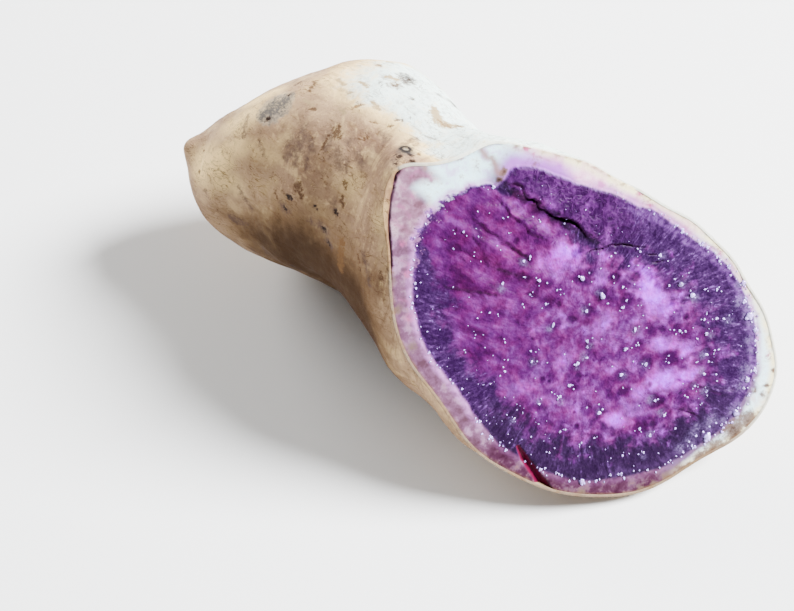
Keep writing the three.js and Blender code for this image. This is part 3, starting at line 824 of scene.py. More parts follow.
# Marks on the skin, by kind: from (x, angle) to (x, angle), half width
MARKS = {
    "grey": [
        (-72.0, 63, -71.2, 66, 2.3), (-70.8, 68, -70.2, 69, 1.1), (-73.0, 60, -72.6, 62, 1.0),
        (-53.2, 103, -51.6, 101, 0.9),
    ],
    "dark": [
        (-70.8, 72, -70.7, 72, 0.4), (-71.3, 57, -71, 58, 0.35), (-71.1, 104, -71, 104, 0.4),
        (-59, 28, -57.9, 29, 0.5), (-59.6, 22, -58.6, 22, 0.35), (-46.5, 36, -45.9, 35, 0.45),
        (-51.7, 32, -51.2, 31, 0.35), (-48.8, 25, -48.0, 24, 0.35), (-46.3, 21, -45.6, 20, 0.4),
        (-51.9, 102, -51.3, 101, 0.4), (-37.2, 65, -34.9, 62, 0.22), (-37.4, 66, -36.6, 66, 0.7),
        (-36.4, 69, -35.4, 69, 0.5), (-34.5, 67, -33.7, 67, 0.5),
    ],
    "haze": [
        (-77.7, 63, -76.6, 56, 0.3), (-76.6, 56, -75.1, 49, 0.6), (-61.7, 59, -61, 50, 0.6),
        (-61, 50, -62.5, 44, 0.8), (-59.8, 47, -59.6, 43, 0.6), (-58.8, 55, -57.2, 52, 0.8),
        (-60.4, 55, -59.6, 49, 0.7), (-63.0, 53, -63.4, 48, 0.5), (-57.4, 48, -56.6, 44, 0.6),
        (-55.0, 60, -54.4, 56, 0.9), (-51.0, 55, -48.6, 53, 1.3), (-46.8, 60, -45.4, 58, 1.0),
        (-70.2, 45, -67.8, 40, 0.25), (-81.3, 10, -81, 7, 0.4), (-72.5, 21, -71, 17, 0.35),
        (-71, 17, -69.1, 11, 0.5), (-60, 22, -58, 22, 0.9), (-47.4, 38, -46.4, 36, 0.7),
        (-52.1, 24, -51.4, 23, 0.4), (-49.3, 25, -47.4, 24, 0.9), (-46.5, 21, -45.4, 20, 0.7),
        (-35.6, 28, -33.4, 23, 0.25), (-36.4, 30, -35.4, 27, 0.3), (-33.2, 22, -32.4, 19, 0.3),
        (-74.1, 359, -71.2, 358, 0.9), (-54.5, 101, -52.5, 99, 0.4), (-52.0, 99, -50.8, 98, 0.5),
        (-38.8, 75, -37.0, 74, 0.6), (-36.8, 64, -35.6, 62, 0.6), (-39.4, 72, -38.6, 76, 0.8),
        (-45.0, 72, -43.4, 70, 0.7), (-50, 61, -49.9, 63, 0.25),
    ],
    "brown": [
        (-72.3, 81, -71.8, 83, 0.4), (-66.6, 75, -67.7, 81, 0.45), (-54.6, 64, -53.2, 62, 1.1),
        (-54.9, 54, -55.1, 60, 0.25), (-86, 39, -85.9, 39, 0.3), (-84.6, 22, -84.5, 22, 0.35),
        (-57.1, 36, -55.6, 33, 0.9), (-62.6, 26, -61.8, 24, 0.4), (-46, 42, -45.1, 40, 0.45),
        (-46.7, 48, -46.1, 47, 0.4), (-37.3, 26, -36, 22, 0.25), (-30.4, 27, -29.9, 24, 0.4),
        (-34.4, 15, -34.2, 12, 0.25), (-51.9, 93, -51.7, 94, 0.5), (-48.4, 114, -47.8, 115, 0.25),
        (-47.4, 93, -46.5, 92, 0.3), (-36.4, 95, -35.6, 96, 0.3), (-35.2, 71, -34.6, 71, 0.3),
        (-48.7, 73, -47.7, 74, 0.15), (-45.6, 76, -44.8, 77, 0.25), (-45.1, 80, -44.1, 81, 0.25),
        (-47.7, 67, -47.3, 68, 0.4), (-46.9, 71, -46.1, 71, 0.25), (-35.1, 65, -34.2, 65, 0.4),
        (-92.7, 40, -92.6, 40, 0.5), (-64.0, 66, -62.0, 67, 0.3),
    ],
    "ochre": [
        (-42.5, 26, -41.6, 14, 0.8), (-52.2, 93, -51.8, 94, 1.1), (-39.4, 92, -38.4, 92, 0.2),
        (-38.4, 92, -36.9, 92, 0.3), (-54.2, 74, -52.8, 77, 0.25),
    ],
    "tan": [
        (-42.6, 96, -41.4, 94, 0.5), (-41.4, 94, -39.6, 92, 0.9), (-39.6, 92, -37.8, 92, 1.0),
        (-37.8, 92, -36.6, 94, 0.8), (-36.6, 94, -35.6, 96, 0.5), (-55.0, 96, -53.0, 97, 0.5),
        (-63.5, 84, -60.5, 83, 0.1), (-60.2, 80, -57.4, 80, 0.1), (-58.6, 87, -55.6, 86, 0.1),
        (-66.0, 70, -63.6, 69, 0.1), (-57.0, 72, -54.8, 71, 0.1), (-51.6, 80, -49.2, 79, 0.1),
    ],
}
SCAR_PLACE = (-37.5, 70.0)
SCAR_RADIUS = 0.85
SCAR_OVAL = (0.9, 1.0, 0.9)
RANDOM_MARKS = 80
RANDOM_TONES = 4
MARK_WIDTHS = {"brown": 0.35, "dark": 0.4, "grey": 0.8, "haze": 0.5, "ochre": 0.5}
MARK_SOFTNESS = {"brown": 0.35, "dark": 0.3, "grey": 1.0, "haze": 0.9, "ochre": 0.4, "tan": 0.6}


def spoke_angles():
    """Angles of the spokes, set more closely where the skin is seen in the main view."""
    fine = np.linspace(0, 360, 7201)
    away = turn_between(fine, SEEN_MIDDLE)
    seen = smoothstep(away, -SEEN_HALF - SEEN_SOFT, -SEEN_HALF)
    seen = seen * (1 - smoothstep(away, SEEN_HALF, SEEN_HALF + SEEN_SOFT))
    density = 1 + SEEN_EXTRA * seen
    reach = np.concatenate([[0], np.cumsum((density[1:] + density[:-1]) / 2)])
    return np.interp(np.arange(SPOKES) / SPOKES * reach[-1], reach, fine)


def skin_share(s):
    """How far along from the cut to the tip, closer set towards the tip."""
    return 1.15 * s + 0.7 * s**2 - 0.85 * s**3


def by_kind(table):
    """The rows of a table that's grouped by kind, each with its kind before it."""
    return [(kind, *row) for kind, rows in table.items() for row in rows]


def random_marks():
    """Marks for the sides that the main view doesn't show."""
    draw = np.random.default_rng(SEED + 1)
    marks = []
    while len(marks) < RANDOM_MARKS:
        at = draw.uniform(100, 350)
        x = draw.uniform(-88, 20)
        kind = draw.choice(["brown", "brown", "dark", "grey", "haze", "ochre"])
        long = draw.uniform(1, 9) if kind in ("brown", "haze", "ochre") else draw.uniform(0.2, 1.5)
        half = MARK_WIDTHS[kind] * draw.uniform(0.6, 1.4)
        marks.append((kind, x, at, x + draw.uniform(-1, 1), at + long, half))
    return marks


def random_tones():
    """Broad tones for the sides that the main view doesn't show."""
    draw = np.random.default_rng(SEED + 3)
    tones = []
    for kind in ("light", "yellow", "pinkish", "brown", "ochre", "light", "pinkish", "brown") * RANDOM_TONES:
        along, around = draw.uniform(4, 10), draw.uniform(8, 20)
        x, at = draw.uniform(-88, 22), draw.uniform(120, 340)
        tones.append((kind, x, at, along, around, draw.uniform(0.3, 0.8)))
    return tones


def mark_fields(points, warp):
    """How strongly each kind of mark shows at points of the skin, in the tuber's own frame."""
    found = {kind: np.zeros(len(points)) for kind in MARKS}
    warped = points + warp
    for kind, x0, at0, x1, at1, half in by_kind(MARKS) + random_marks():
        a, b = skin_point(x0, at0), skin_point(x1, at1)
        step = b - a
        t = np.clip(((warped - a) @ step) / max(step @ step, 1e-6), 0, 1)
        away = np.linalg.norm(warped - a - t[:, None] * step, axis=1)
        shown = np.clip(1 - (away - 0.5 * half) / (half + MARK_SOFTNESS[kind]), 0, 1)
        found[kind] = np.maximum(found[kind], shown)
    return found


def tone_fields(x, at):
    """How strongly each broad tone shows at x and the angle at."""
    found = {kind: np.zeros(x.shape) for kind in TONES}
    for kind, place, angle, along, around, strength in by_kind(TONES) + random_tones():
        away = ((x - place) / along) ** 2 + (turn_between(at, angle) / around) ** 2
        found[kind] = np.maximum(found[kind], strength * np.exp(-away))
    return found


def skin_relief(flat, from_cut, warp, marks):
    """The height of the skin's bumps and marks, at points in the tuber's own frame."""
    scar_away = np.linalg.norm(flat + warp * 0.3 - skin_point(*SCAR_PLACE), axis=1)
    scar = np.exp(-(((scar_away - SCAR_RADIUS) / 0.3) ** 2))
    lines = noise(flat * [1.6, 0.25, 0.25], 2.2, 40, 3)
    near_cut = np.exp(-from_cut / 14)
    relief = 0.3 * noise(flat, 11, 41, 2) + 0.1 * noise(flat, 3.5, 42, 2) + 0.035 * noise(flat, 1.2, 43, 2)
    relief += 0.09 * lines * (0.35 + near_cut)
    relief -= 0.12 * marks["dark"] + 0.07 * marks["brown"] + 0.05 * marks["haze"]
    relief += 0.05 * marks["grey"] * noise(flat, 0.8, 44, 2)
    relief += 0.16 * scar - 0.12 * np.exp(-((scar_away / 0.5) ** 2))
    fade_in = smoothstep(from_cut, 0, 3) * 0.9 + 0.1
    return relief * fade_in


def skin_end_rows(outer, normal, at):
    """The skin's last three rows, a little proud of the cut, and how far in the slit beside them reaches."""
    rim = np.stack([np.cos(np.radians(at)) * 30, np.sin(np.radians(at)) * 30, np.zeros(SPOKES)], 1)
    proud = 0.08 + 0.07 * noise(rim, 1.4, 45, 2) + 0.05 * noise(rim, 5.0, 46)
    ragged = 0.06 * noise(rim, 1.1, 47, 2)
    inward = unit(normal - (normal @ FACE_OUT)[:, None] * FACE_OUT)
    lift = (proud - (outer @ FACE_OUT))[:, None]
    outer = outer + (FACE_OUT * lift + inward * np.minimum(ragged, 0)[:, None])
    slit = slit_reach(np.arctan2(outer @ FACE_UP, outer @ FACE_RIGHT))
    flap = np.maximum(slit - SLIT_WIDTH - SKIN_THICK, 0) * (1 + 0.25 * noise(rim, 2.0, 49, 2))
    middle = outer - inward * (0.26 + flap)[:, None] + FACE_OUT * 0.03
    inner_edge = outer - inward * (SKIN_THICK + flap + ragged)[:, None] - FACE_OUT * 0.02
    return outer, middle, inner_edge, slit


def shell_faces(count, v):
    """Faces and uvs of the skin: the first tip, rings of vertices with v at each, and the last tip."""
    last_ring = 1 + (count - 1) * SPOKES
    last_tip = last_ring + SPOKES
    faces, uvs = [], []
    for j, k, u0, u1 in round_steps(SPOKES):
        faces.append((0, 1 + k, 1 + j))
        uvs += [(u0, 0), (u1, v[0]), (u0, v[0])]
        faces.append((last_tip, last_ring + j, last_ring + k))
        uvs += [(u0, 1), (u0, v[-1]), (u1, v[-1])]
    for i in range(count - 1):
        a = 1 + i * SPOKES
        b = a + SPOKES
        for j, k, u0, u1 in round_steps(SPOKES):
            faces.append((a + j, a + k, b + k, b + j))
            uvs += [(u0, v[i]), (u1, v[i]), (u1, v[i + 1]), (u0, v[i + 1])]
    return faces, uvs


def over_shell(values, rest):
    """A field of the outer rows, given to every vertex of the skin; the inside has the value rest."""
    rows = values.reshape(ROWS, SPOKES)
    rings = [*rows[::-1], rows[0], rows[0], *[np.full(SPOKES, rest)] * INNER_ROWS]
    return np.concatenate([[rows[-1].mean()], np.concatenate(rings), [rest]])


def on_rings(first, rows):
    """A field of the skin's vertices that is 0 but on a few rings, counted from the tip."""
    field = np.zeros(2 + (ROWS + 2 + INNER_ROWS) * SPOKES)
    start = 1 + first * SPOKES
    field[start : start + len(rows) * SPOKES] = np.concatenate(rows)
    return field


def painted_highlight_field(x, at, flat, from_cut):
    """Painted highlight: how far the skin is made whitish, as if in bright light, along its top and back, and
    at the top beside the cut.
    """
    upright = turn_between(at, 0)[None]
    wander = upright + 55 * noise(flat, 17, 48, 3).reshape(x.shape)
    pale = smoothstep(upright, 66, 88) * (1 - smoothstep(wander, 112, 196)) * smoothstep(x, -74, -54)
    bared = smoothstep(upright, 66, 80) * (1 - smoothstep(upright, 100, 118))
    return np.maximum(pale, bared * smoothstep(-from_cut, -9, -2).reshape(x.shape))


def painted_low_shade_field(x, at):
    """Painted shade: how far the low part of the front is darkened, as if shaded under the lobe."""
    upright = turn_between(at, 0)[None]
    below = upright - 15 * smoothstep(x, -82, -50) * (1 - smoothstep(x, -38, -26))
    low = (1 - smoothstep(below, -14, 25)) * smoothstep(upright, -95, -50) * (1 - smoothstep(x, -36, -16))
    low = low * (0.7 + 0.3 * smoothstep(upright, -45, -8))
    return low * (smoothstep(x, -84, -64) + 0.3 * smoothstep(x, -64, -54))


def make_skin():
    """The skin: a closed shell of rings of points, from the tip to the cut and back inside."""
    at = spoke_angles()
    edge = edge_x(at)
    share = skin_share(np.arange(ROWS) / ROWS)
    x = edge[None] + (TIP_X - edge[None]) * share[:, None]
    outer = skin_point(x, np.broadcast_to(at, x.shape))
    normal = grid_normals(outer)
    flat = outer.reshape(-1, 3)
    from_cut = -(flat @ FACE_OUT)
    warp = np.stack([noise(flat, 1.0, 30 + k, 3, 0.6) for k in range(3)], 1) * 0.6
    marks = mark_fields(flat, warp)
    outer = outer + normal * skin_relief(flat, from_cut, warp, marks).reshape(ROWS, SPOKES, 1)
    outer[0], middle, inner_edge, slit = skin_end_rows(outer[0], normal[0], at)

    keep = np.round(np.linspace(4, ROWS - 1, INNER_ROWS)).astype(int)
    inner = outer[keep] - normal[keep] * SKIN_THICK
    tip_out = skin_point(TIP_X, 0.0)
    tip_in = tip_out + np.array([SKIN_THICK, 0, 0])
    rings = [*outer[::-1], middle, inner_edge, *inner]
    points = np.concatenate([tip_out[None], *rings, tip_in[None]])
    laid = lay_down(points)
    is_inner = np.arange(len(points)) >= 1 + (ROWS + 1) * SPOKES
    laid[:, 2] = np.maximum(laid[:, 2], np.where(is_inner, SKIN_LIFT, 0.0))
    v = [(1 - share[::-1]) * OUTER_V, END_V, np.linspace(*INNER_V, INNER_ROWS)]
    faces, uvs = shell_faces(len(rings), np.concatenate(v))

    attributes = {kind: over_shell(value, 0.0) for kind, value in marks.items()}
    for kind, value in tone_fields(x, np.broadcast_to(at, x.shape)).items():
        attributes["tone_" + kind] = over_shell(value, 0.0)
    # a painted highlight along the top and back of the skin
    attributes["pale"] = over_shell(painted_highlight_field(x, at, flat, from_cut), 0.0)
    # painted shade on the low part of the front
    attributes["low"] = over_shell(painted_low_shade_field(x, at), 0.0)
    attributes["near_cut"] = over_shell(np.exp(-from_cut / 13), 1.0)
    # where the slit is, the flap gets painted shade and the skin's inner edge a painted shadow
    torn_off = smoothstep(slit, 0.45, 0.7)
    attributes["cut_end"] = on_rings(ROWS - 1, [1 - torn_off] * 3)
    attributes["flap"] = on_rings(ROWS - 1, [0.6 * torn_off, torn_off])
    attributes["painted_shadow_rim"] = on_rings(ROWS + 1, [torn_off])
    attributes["tuber"] = points
    attributes["own"] = in_cut_frame(points)
    attributes["rim_turn"] = directions(attributes["own"])
    skin = make_object("yam_skin", laid, faces, uvs, attributes)
    skin.data.set_sharp_from_angle(angle=math.radians(50))
    return skin


# ---------------------------------------------------------------- the flesh
FACE_GRID = 268
UNDER_ROWS = 14
RIM_GAP = 0.27
UNDER_INSET = 1.7
FOLD_TURN = math.radians(-42)  # the way the torn folds of the flesh run
FOLD_STRETCH = 0.32  # noise is this much coarser along the folds
POLAR_SCALE = 30.0  # turns round the cut as lengths, at the scale they have near its rim
FLESH_TIP = np.array([0, -14, 3])
FLESH_LIFT = 0.2  # the least height of the flesh above the floor
# The cut's share of the texture map, with the rows under the skin above it
CUT_MAP_WIDTH, CUT_MAP_SHARE, CUT_MAP_MARGIN = 84.0, 0.9, 0.005
UNDER_V, UNDER_V_RISE, TIP_V = 0.915, 0.08, (0.995, 0.999)
HIDDEN_MASKS = {"edge": 0.3, "ring": -3.0, "band": -0.3}  # the masks' values under the skin, if not 0


def disc_from_square(a, b):
    """Concentric map from the square -1..1 to the unit disc: radius and angle."""
    wide = np.abs(a) >= np.abs(b)
    radius = np.where(wide, a, b)
    with np.errstate(divide="ignore", invalid="ignore"):
        turned = np.where(wide, math.pi / 4 * (b / a), math.pi / 2 - math.pi / 4 * (a / b))
    turned = np.where(radius == 0, 0, turned)
    angle = np.where(radius < 0, turned + math.pi, turned)
    return np.abs(radius), angle


def flesh_under(at):
    """Rows of points under the skin, from the cut towards the tip."""
    edge = edge_x(at)
    shares = np.concatenate([[0.006, 0.02, 0.05], np.linspace(0.11, 0.985, UNDER_ROWS - 3)])
    insets = np.interp(shares, [0, 0.006, 0.05, 0.2], [RIM_GAP, 0.34, 0.8, UNDER_INSET])
    x = edge[None] + (TIP_X - edge[None]) * shares[:, None]
    under = skin_point(x, np.broadcast_to(at, x.shape))
    return under - grid_normals(under) * insets[:, None, None]


def flesh_faces(index, border, u, v):
    """Faces and uvs of the flesh: the grid of the cut, the rows under the skin and the tip."""
    n, m = len(index), len(border)
    faces, uvs = [], []
    for i, j in np.ndindex(n - 1, n - 1):
        quad = (index[i, j], index[i, j + 1], index[i + 1, j + 1], index[i + 1, j])
        faces.append(tuple(int(q) for q in quad))
        uvs += [(u[q], v[q]) for q in quad]
    rings = [border.tolist()] + [list(range(n * n + k * m, n * n + (k + 1) * m)) for k in range(UNDER_ROWS)]
    for row, (near, far) in enumerate(zip(rings, rings[1:])):
        v0, v1 = (UNDER_V + UNDER_V_RISE * k / UNDER_ROWS for k in (row, row + 1))
        for j, k, u0, u1 in round_steps(m):
            faces.append((near[j], far[j], far[k], near[k]))
            uvs += [(u0, v0), (u0, v1), (u1, v1), (u1, v0)]
    tip = n * n + UNDER_ROWS * m
    for j, k, u0, u1 in round_steps(m):
        faces.append((far[j], tip, far[k]))
        uvs += [(u0, TIP_V[0]), (u0, TIP_V[1]), (u1, TIP_V[0])]
    return faces, uvs


def make_flesh():
    """The flesh: the cut as a square grid bent into its outline, closed by rows of points under the skin."""
    n = FACE_GRID
    line = np.linspace(-1, 1, n)
    a, b = [g.ravel() for g in np.meshgrid(line, line, indexing="xy")]
    share, theta = disc_from_square(a, b)
    reach = rim_radius(theta) - RIM_GAP
    right, above = share * reach * np.cos(theta), share * reach * np.sin(theta)
    height, masks = face_fields(right, above)
    index = np.arange(n * n).reshape(n, n)
    border = np.concatenate([index[0, :-1], index[:-1, -1], index[-1, :0:-1], index[:0:-1, 0]])
    under = flesh_under(rim_at(np.arctan2(above[border], right[border])))
    tip = skin_point(TIP_X + 4.0, 0.0) * [1, 0, 0] + FLESH_TIP
    points = np.concatenate([on_face(right, above, height), under.reshape(-1, 3), tip[None]])
    laid = lay_down(points)
    laid[:, 2] = np.maximum(laid[:, 2], FLESH_LIFT)
    u, v = ((place / CUT_MAP_WIDTH + 0.5) * CUT_MAP_SHARE + CUT_MAP_MARGIN for place in (right, above))
    faces, uvs = flesh_faces(index, border, u, v)

    hidden = len(points) - n * n
    attributes = {}
    for key, mask in masks.items():
        attributes[key] = np.concatenate([mask, np.full(hidden, HIDDEN_MASKS.get(key, 0.0))])
    own = in_cut_frame(points)
    attributes["own"] = own
    attributes["rim_turn"] = directions(own)
    attributes["polar"] = directions(own) * POLAR_SCALE + np.hypot(own[:, 0], own[:, 1])[:, None] * [0, 0, 1]
    c, s = math.cos(FOLD_TURN), math.sin(FOLD_TURN)
    along, across = own[:, 0] * c + own[:, 1] * s, own[:, 1] * c - own[:, 0] * s
    attributes["fold"] = np.stack([along * FOLD_STRETCH, across, own[:, 2]], 1)
    return make_object("yam_flesh", laid, faces, uvs, attributes)


# ---------------------------------------------------------------- drops of latex
def icosphere(divisions):
    """Vertices and triangles of a ball of radius 1."""
    g = (1 + math.sqrt(5)) / 2
    points = [
        (-1, g, 0), (1, g, 0), (-1, -g, 0), (1, -g, 0), (0, -1, g), (0, 1, g), (0, -1, -g), (0, 1, -g),
        (g, 0, -1), (g, 0, 1), (-g, 0, -1), (-g, 0, 1),
    ]
    faces = [
        (0, 11, 5), (0, 5, 1), (0, 1, 7), (0, 7, 10), (0, 10, 11), (1, 5, 9), (5, 11, 4), (11, 10, 2),
        (10, 7, 6), (7, 1, 8), (3, 9, 4), (3, 4, 2), (3, 2, 6), (3, 6, 8), (3, 8, 9), (4, 9, 5), (2, 4, 11),
        (6, 2, 10), (8, 6, 7), (9, 8, 1),
    ]
    points = [tuple(unit(np.array(p, float))) for p in points]
    for _ in range(divisions):
        cut, finer = {}, []

        def halfway(i, j):
            key = (min(i, j), max(i, j))
            if key not in cut:
                cut[key] = len(points)
                points.append(tuple(unit((np.array(points[i]) + np.array(points[j])) / 2)))
            return cut[key]

        for i, j, k in faces:
            ij, jk, ki = halfway(i, j), halfway(j, k), halfway(k, i)
            finer += [(i, ij, ki), (j, jk, ij), (k, ki, jk), (ij, jk, ki)]
        faces = finer
    return np.array(points), np.array(faces)


def inner_drops(draw):
    """The drops seen on the inner flesh, with small ones beside them."""
    drops = []
    for x, y, radius in INNER_DROPS:
        if radius == 0:
            continue
        skew = draw.uniform(-1, 1) * (0.5 if math.hypot(x, y) > 21 else math.pi / 2)
        size, stretch = radius * draw.uniform(0.75, 0.95), draw.uniform(1, 2.0)
        drops.append((x, y, size, stretch, math.atan2(y, x) + skew, 0.5))
        for _ in range(draw.integers(0, 3) if radius >= 0.4 else draw.integers(0, 2)):
            away, turned = draw.uniform(0.8, 2.0) * (radius + 0.25), draw.uniform(0, 2 * math.pi)
            size, stretch = draw.uniform(0.1, 0.24), draw.uniform(1, 1.6)
            beside = (x + away * math.cos(turned), y + away * math.sin(turned))
            drops.append((*beside, size, stretch, turned, 0.7))
    return drops


def ring_drops(draw):
    """The drops seen along the ring; the bigger ones have lobes."""
    drops = []
    for x, y, radius in RING_DROPS:
        size, stretch = radius * draw.uniform(0.85, 1.0), draw.uniform(1.1, 1.6)
        drops.append((x, y, size, stretch, math.atan2(y, x) + draw.uniform(-0.5, 0.5), 0.55))
        for _ in range(2 if radius > 0.5 else 0):
            lobe_x, lobe_y = x + draw.uniform(-0.7, 0.7), y + draw.uniform(-0.7, 0.7)
            drops.append((lobe_x, lobe_y, radius * 0.6, 1.2, draw.uniform(0, math.pi), 0.6))
    return drops


def ring_reach(theta):
    """How far from the middle of the cut the ring lies at one angle."""
    angle = np.array([theta])
    return rim_radius(angle)[0] - by_angle(angle, RING_INSET)[0]


def scattered_drops(draw):
    """Further small drops along the ring, more of them at some angles than at others."""
    drops = []
    for k in range(RING_TRIES):
        theta = 2 * math.pi * (k + draw.uniform(0, 1)) / RING_TRIES - math.pi
        chance, size = draw.uniform(), draw.uniform()
        aside, stretch, skew = draw.normal() * 0.45, draw.uniform(1, 1.8), draw.uniform(-0.6, 0.6)
        if chance <= by_angle(np.array([theta]), RING_DENSITY)[0]:
            x, y = ((ring_reach(theta) + aside) * way for way in (math.cos(theta), math.sin(theta)))
            drops.append((x, y, 0.16 + 0.26 * size**2, stretch, theta + skew, 0.6))
    return drops


def painted_glint_beads(draw):
    """Tiny white beads, specks of latex that also stand in for the wet flesh's glints as a painted highlight:
    all over the flesh inside the ring, but few at its middle and none on the torn slab.
    """
    drops = []
    for _ in range(GLINT_BEAD_TRIES):
        theta, share, size = draw.uniform(-math.pi, math.pi), math.sqrt(draw.uniform()), draw.uniform()
        turned = draw.uniform(0, math.pi)
        reach = (ring_reach(theta) - 0.8) * share
        x, y = reach * math.cos(theta), reach * math.sin(theta)
        on_slab = y > 26 - 0.8 * x and x > -14
        if not on_slab and (share >= 0.68 or size >= 0.7):
            drops.append((x, y, 0.07 + 0.11 * size**2, 1 + 0.6 * size, turned, 0.7))
    return drops


def drop_lumps(draw, radius, turned):
    """The lumps that a drop is made of: each one's place and size as shares of the radius."""
    if radius < 0.25:
        return [(0.0, 0.0, 1.0)]
    lumps = []
    for k in range(3):
        away, around = draw.uniform(0.25, 0.6), turned + k * 2.1 + draw.uniform(-0.5, 0.5)
        share = draw.uniform(0.45, 0.75)
        if radius >= 0.5 and k == 0:
            away, share = 0.0, 0.95
        lumps.append((away * math.cos(around), away * math.sin(around), share))
    return lumps


def make_drops():
    """The drops of dried latex, of one to three lumps each, with the tiny white beads of painted glints, as
    one mesh.
    """
    draw = np.random.default_rng(SEED + 2)
    # right, above, radius, stretch, the angle it's turned to, height as a share of the radius
    drops = inner_drops(draw) + ring_drops(draw) + scattered_drops(draw) + painted_glint_beads(draw)
    table = np.array(drops)
    ground, _ = face_fields(table[:, 0], table[:, 1])
    coarse, fine = icosphere(1), icosphere(2)
    points, faces, crests, start = [], [], [], 0
    for (x, y, radius, stretch, turned, tall), height in zip(drops, ground):
        milky = draw.uniform(-0.35, 0.25)
        for side, up, share in drop_lumps(draw, radius, turned):
            size = radius * share
            ball, triangles = fine if size >= FINE_DROP else coarse
            lumpy = 1 + 0.2 * noise(ball + [x + side, y + up, 0], 0.9, 50, 2)
            body = ball * lumpy[:, None] * [size * math.sqrt(stretch), size / math.sqrt(stretch), size * tall]
            c, s = math.cos(turned), math.sin(turned)
            right = x + side * radius + body[:, 0] * c - body[:, 1] * s
            above = y + up * radius + body[:, 0] * s + body[:, 1] * c
            points.append(on_face(right, above, height + 0.1 * size + body[:, 2]))
            crests.append(ball[:, 2] + milky)
            faces += (triangles + start).tolist()
            start += len(ball)
    laid = lay_down(np.concatenate(points))
    return make_object("latex_drops_and_glint_beads", laid, faces, None, {"crest": np.concatenate(crests)})


# ---------------------------------------------------------------- materials
class Shader:
    """A node material with a Principled shader, built from short calls."""

    def __init__(self, name):
        self.material = bpy.data.materials.new(name)
        self.material.use_nodes = True
        self.tree = self.material.node_tree
        self.tree.nodes.clear()
        self.bsdf = self.tree.nodes.new("ShaderNodeBsdfPrincipled")
        out = self.tree.nodes.new("ShaderNodeOutputMaterial")
        self.tree.links.new(self.bsdf.outputs[0], out.inputs["Surface"])

    def feed(self, socket, value):
        if isinstance(value, bpy.types.NodeSocket):
            self.tree.links.new(value, socket)
        elif isinstance(value, tuple) and len(value) == 3 and socket.type == "RGBA":
            socket.default_value = (*value, 1)
        else:
            socket.default_value = value

    def attribute(self, name, vector=False):
        node = self.tree.nodes.new("ShaderNodeAttribute")
        node.attribute_name = name
        return node.outputs["Vector" if vector else "Fac"]

    def math(self, operation, a, b=0.0, c=0.0, clamp=False):
        node = self.tree.nodes.new("ShaderNodeMath")
        node.operation = operation
        node.use_clamp = clamp
        for socket, value in zip(node.inputs, (a, b, c)):
            self.feed(socket, value)
        return node.outputs[0]

    def times(self, a, b):
        return self.math("MULTIPLY", a, b)

    def larger(self, a, b):
        return self.math("MAXIMUM", a, b)

    def away_from(self, value, middle):
        """How far a value is from another, either way."""
        return self.math("ABSOLUTE", self.math("SUBTRACT", value, middle))

    def total(self, start, *terms):
        """start and the sum of each (value, weight, middle), counted from its middle."""
        start -= sum(weight * middle for _, weight, middle in terms)
        for value, weight, _ in terms:
            start = self.math("MULTIPLY_ADD", value, weight, start)
        return start

    def scale(self, vector, by):
        node = self.tree.nodes.new("ShaderNodeVectorMath")
        node.operation = "MULTIPLY"
        self.feed(node.inputs[0], vector)
        node.inputs[1].default_value = by
        return node.outputs[0]

    def distance(self, vector, place):
        node = self.tree.nodes.new("ShaderNodeVectorMath")
        node.operation = "DISTANCE"
        self.feed(node.inputs[0], vector)
        node.inputs[1].default_value = tuple(float(n) for n in place)
        return node.outputs["Value"]

    def mix(self, share, a, b, blend="MIX"):
        node = self.tree.nodes.new("ShaderNodeMix")
        node.data_type = "RGBA"
        node.blend_type = blend
        self.feed(node.inputs[0], share)
        self.feed(node.inputs[6], a)
        self.feed(node.inputs[7], b)
        return node.outputs[2]

    def ramp(self, share, stops, interpolation="LINEAR"):
        node = self.tree.nodes.new("ShaderNodeValToRGB")
        node.color_ramp.interpolation = interpolation
        elements = node.color_ramp.elements
        while len(elements) < len(stops):
            elements.new(0.5)
        for element, (place, colour) in zip(elements, stops):
            element.position = place
            element.color = (*colour, 1) if isinstance(colour, tuple) else (colour, colour, colour, 1)
        self.feed(node.inputs[0], share)
        return node.outputs[0]

    def spread(self, value, low, high, to_low=0.0, to_high=1.0):
        node = self.tree.nodes.new("ShaderNodeMapRange")
        node.interpolation_type = "SMOOTHSTEP"
        self.feed(node.inputs[0], value)
        for socket, number in zip(node.inputs[1:5], (low, high, to_low, to_high)):
            socket.default_value = number
        return node.outputs[0]

    def lay(self, colour, tint, value, low, high, most=1.0):
        """The colour with a tint laid on, from none where the value is low to most of it where it's high."""
        return self.mix(self.spread(value, low, high, 0.0, most), colour, tint)

    def noise(self, vector, size, detail=4.0, rough=0.55, distortion=0.0, kind="FBM"):
        """Noise from 0 to 1 whose lumps are about size across, in the vector's own units."""
        node = self.tree.nodes.new("ShaderNodeTexNoise")
        node.noise_type = kind
        self.feed(node.inputs["Vector"], vector)
        node.inputs["Scale"].default_value = 1 / size
        node.inputs["Detail"].default_value = detail
        node.inputs["Roughness"].default_value = rough
        node.inputs["Distortion"].default_value = distortion
        return node.outputs[0]

    def threads(self, vector, size, width, detail=1.5, distortion=1.0):
        """1 on thin winding lines about size apart, falling to 0 beside them."""
        wave = self.noise(vector, size, detail, 0.5, distortion)
        return self.spread(self.away_from(wave, 0.5), width, 0.0)

    def bump(self, height, distance, strength, normal=None):
        node = self.tree.nodes.new("ShaderNodeBump")
        node.inputs["Strength"].default_value = strength
        node.inputs["Distance"].default_value = distance * MM
        self.feed(node.inputs["Height"], height)
        if normal is not None:
            self.feed(node.inputs["Normal"], normal)
        return node.outputs[0]

    def set(self, **values):
        for name, value in values.items():
            self.feed(self.bsdf.inputs[name.replace("_", " ")], value)


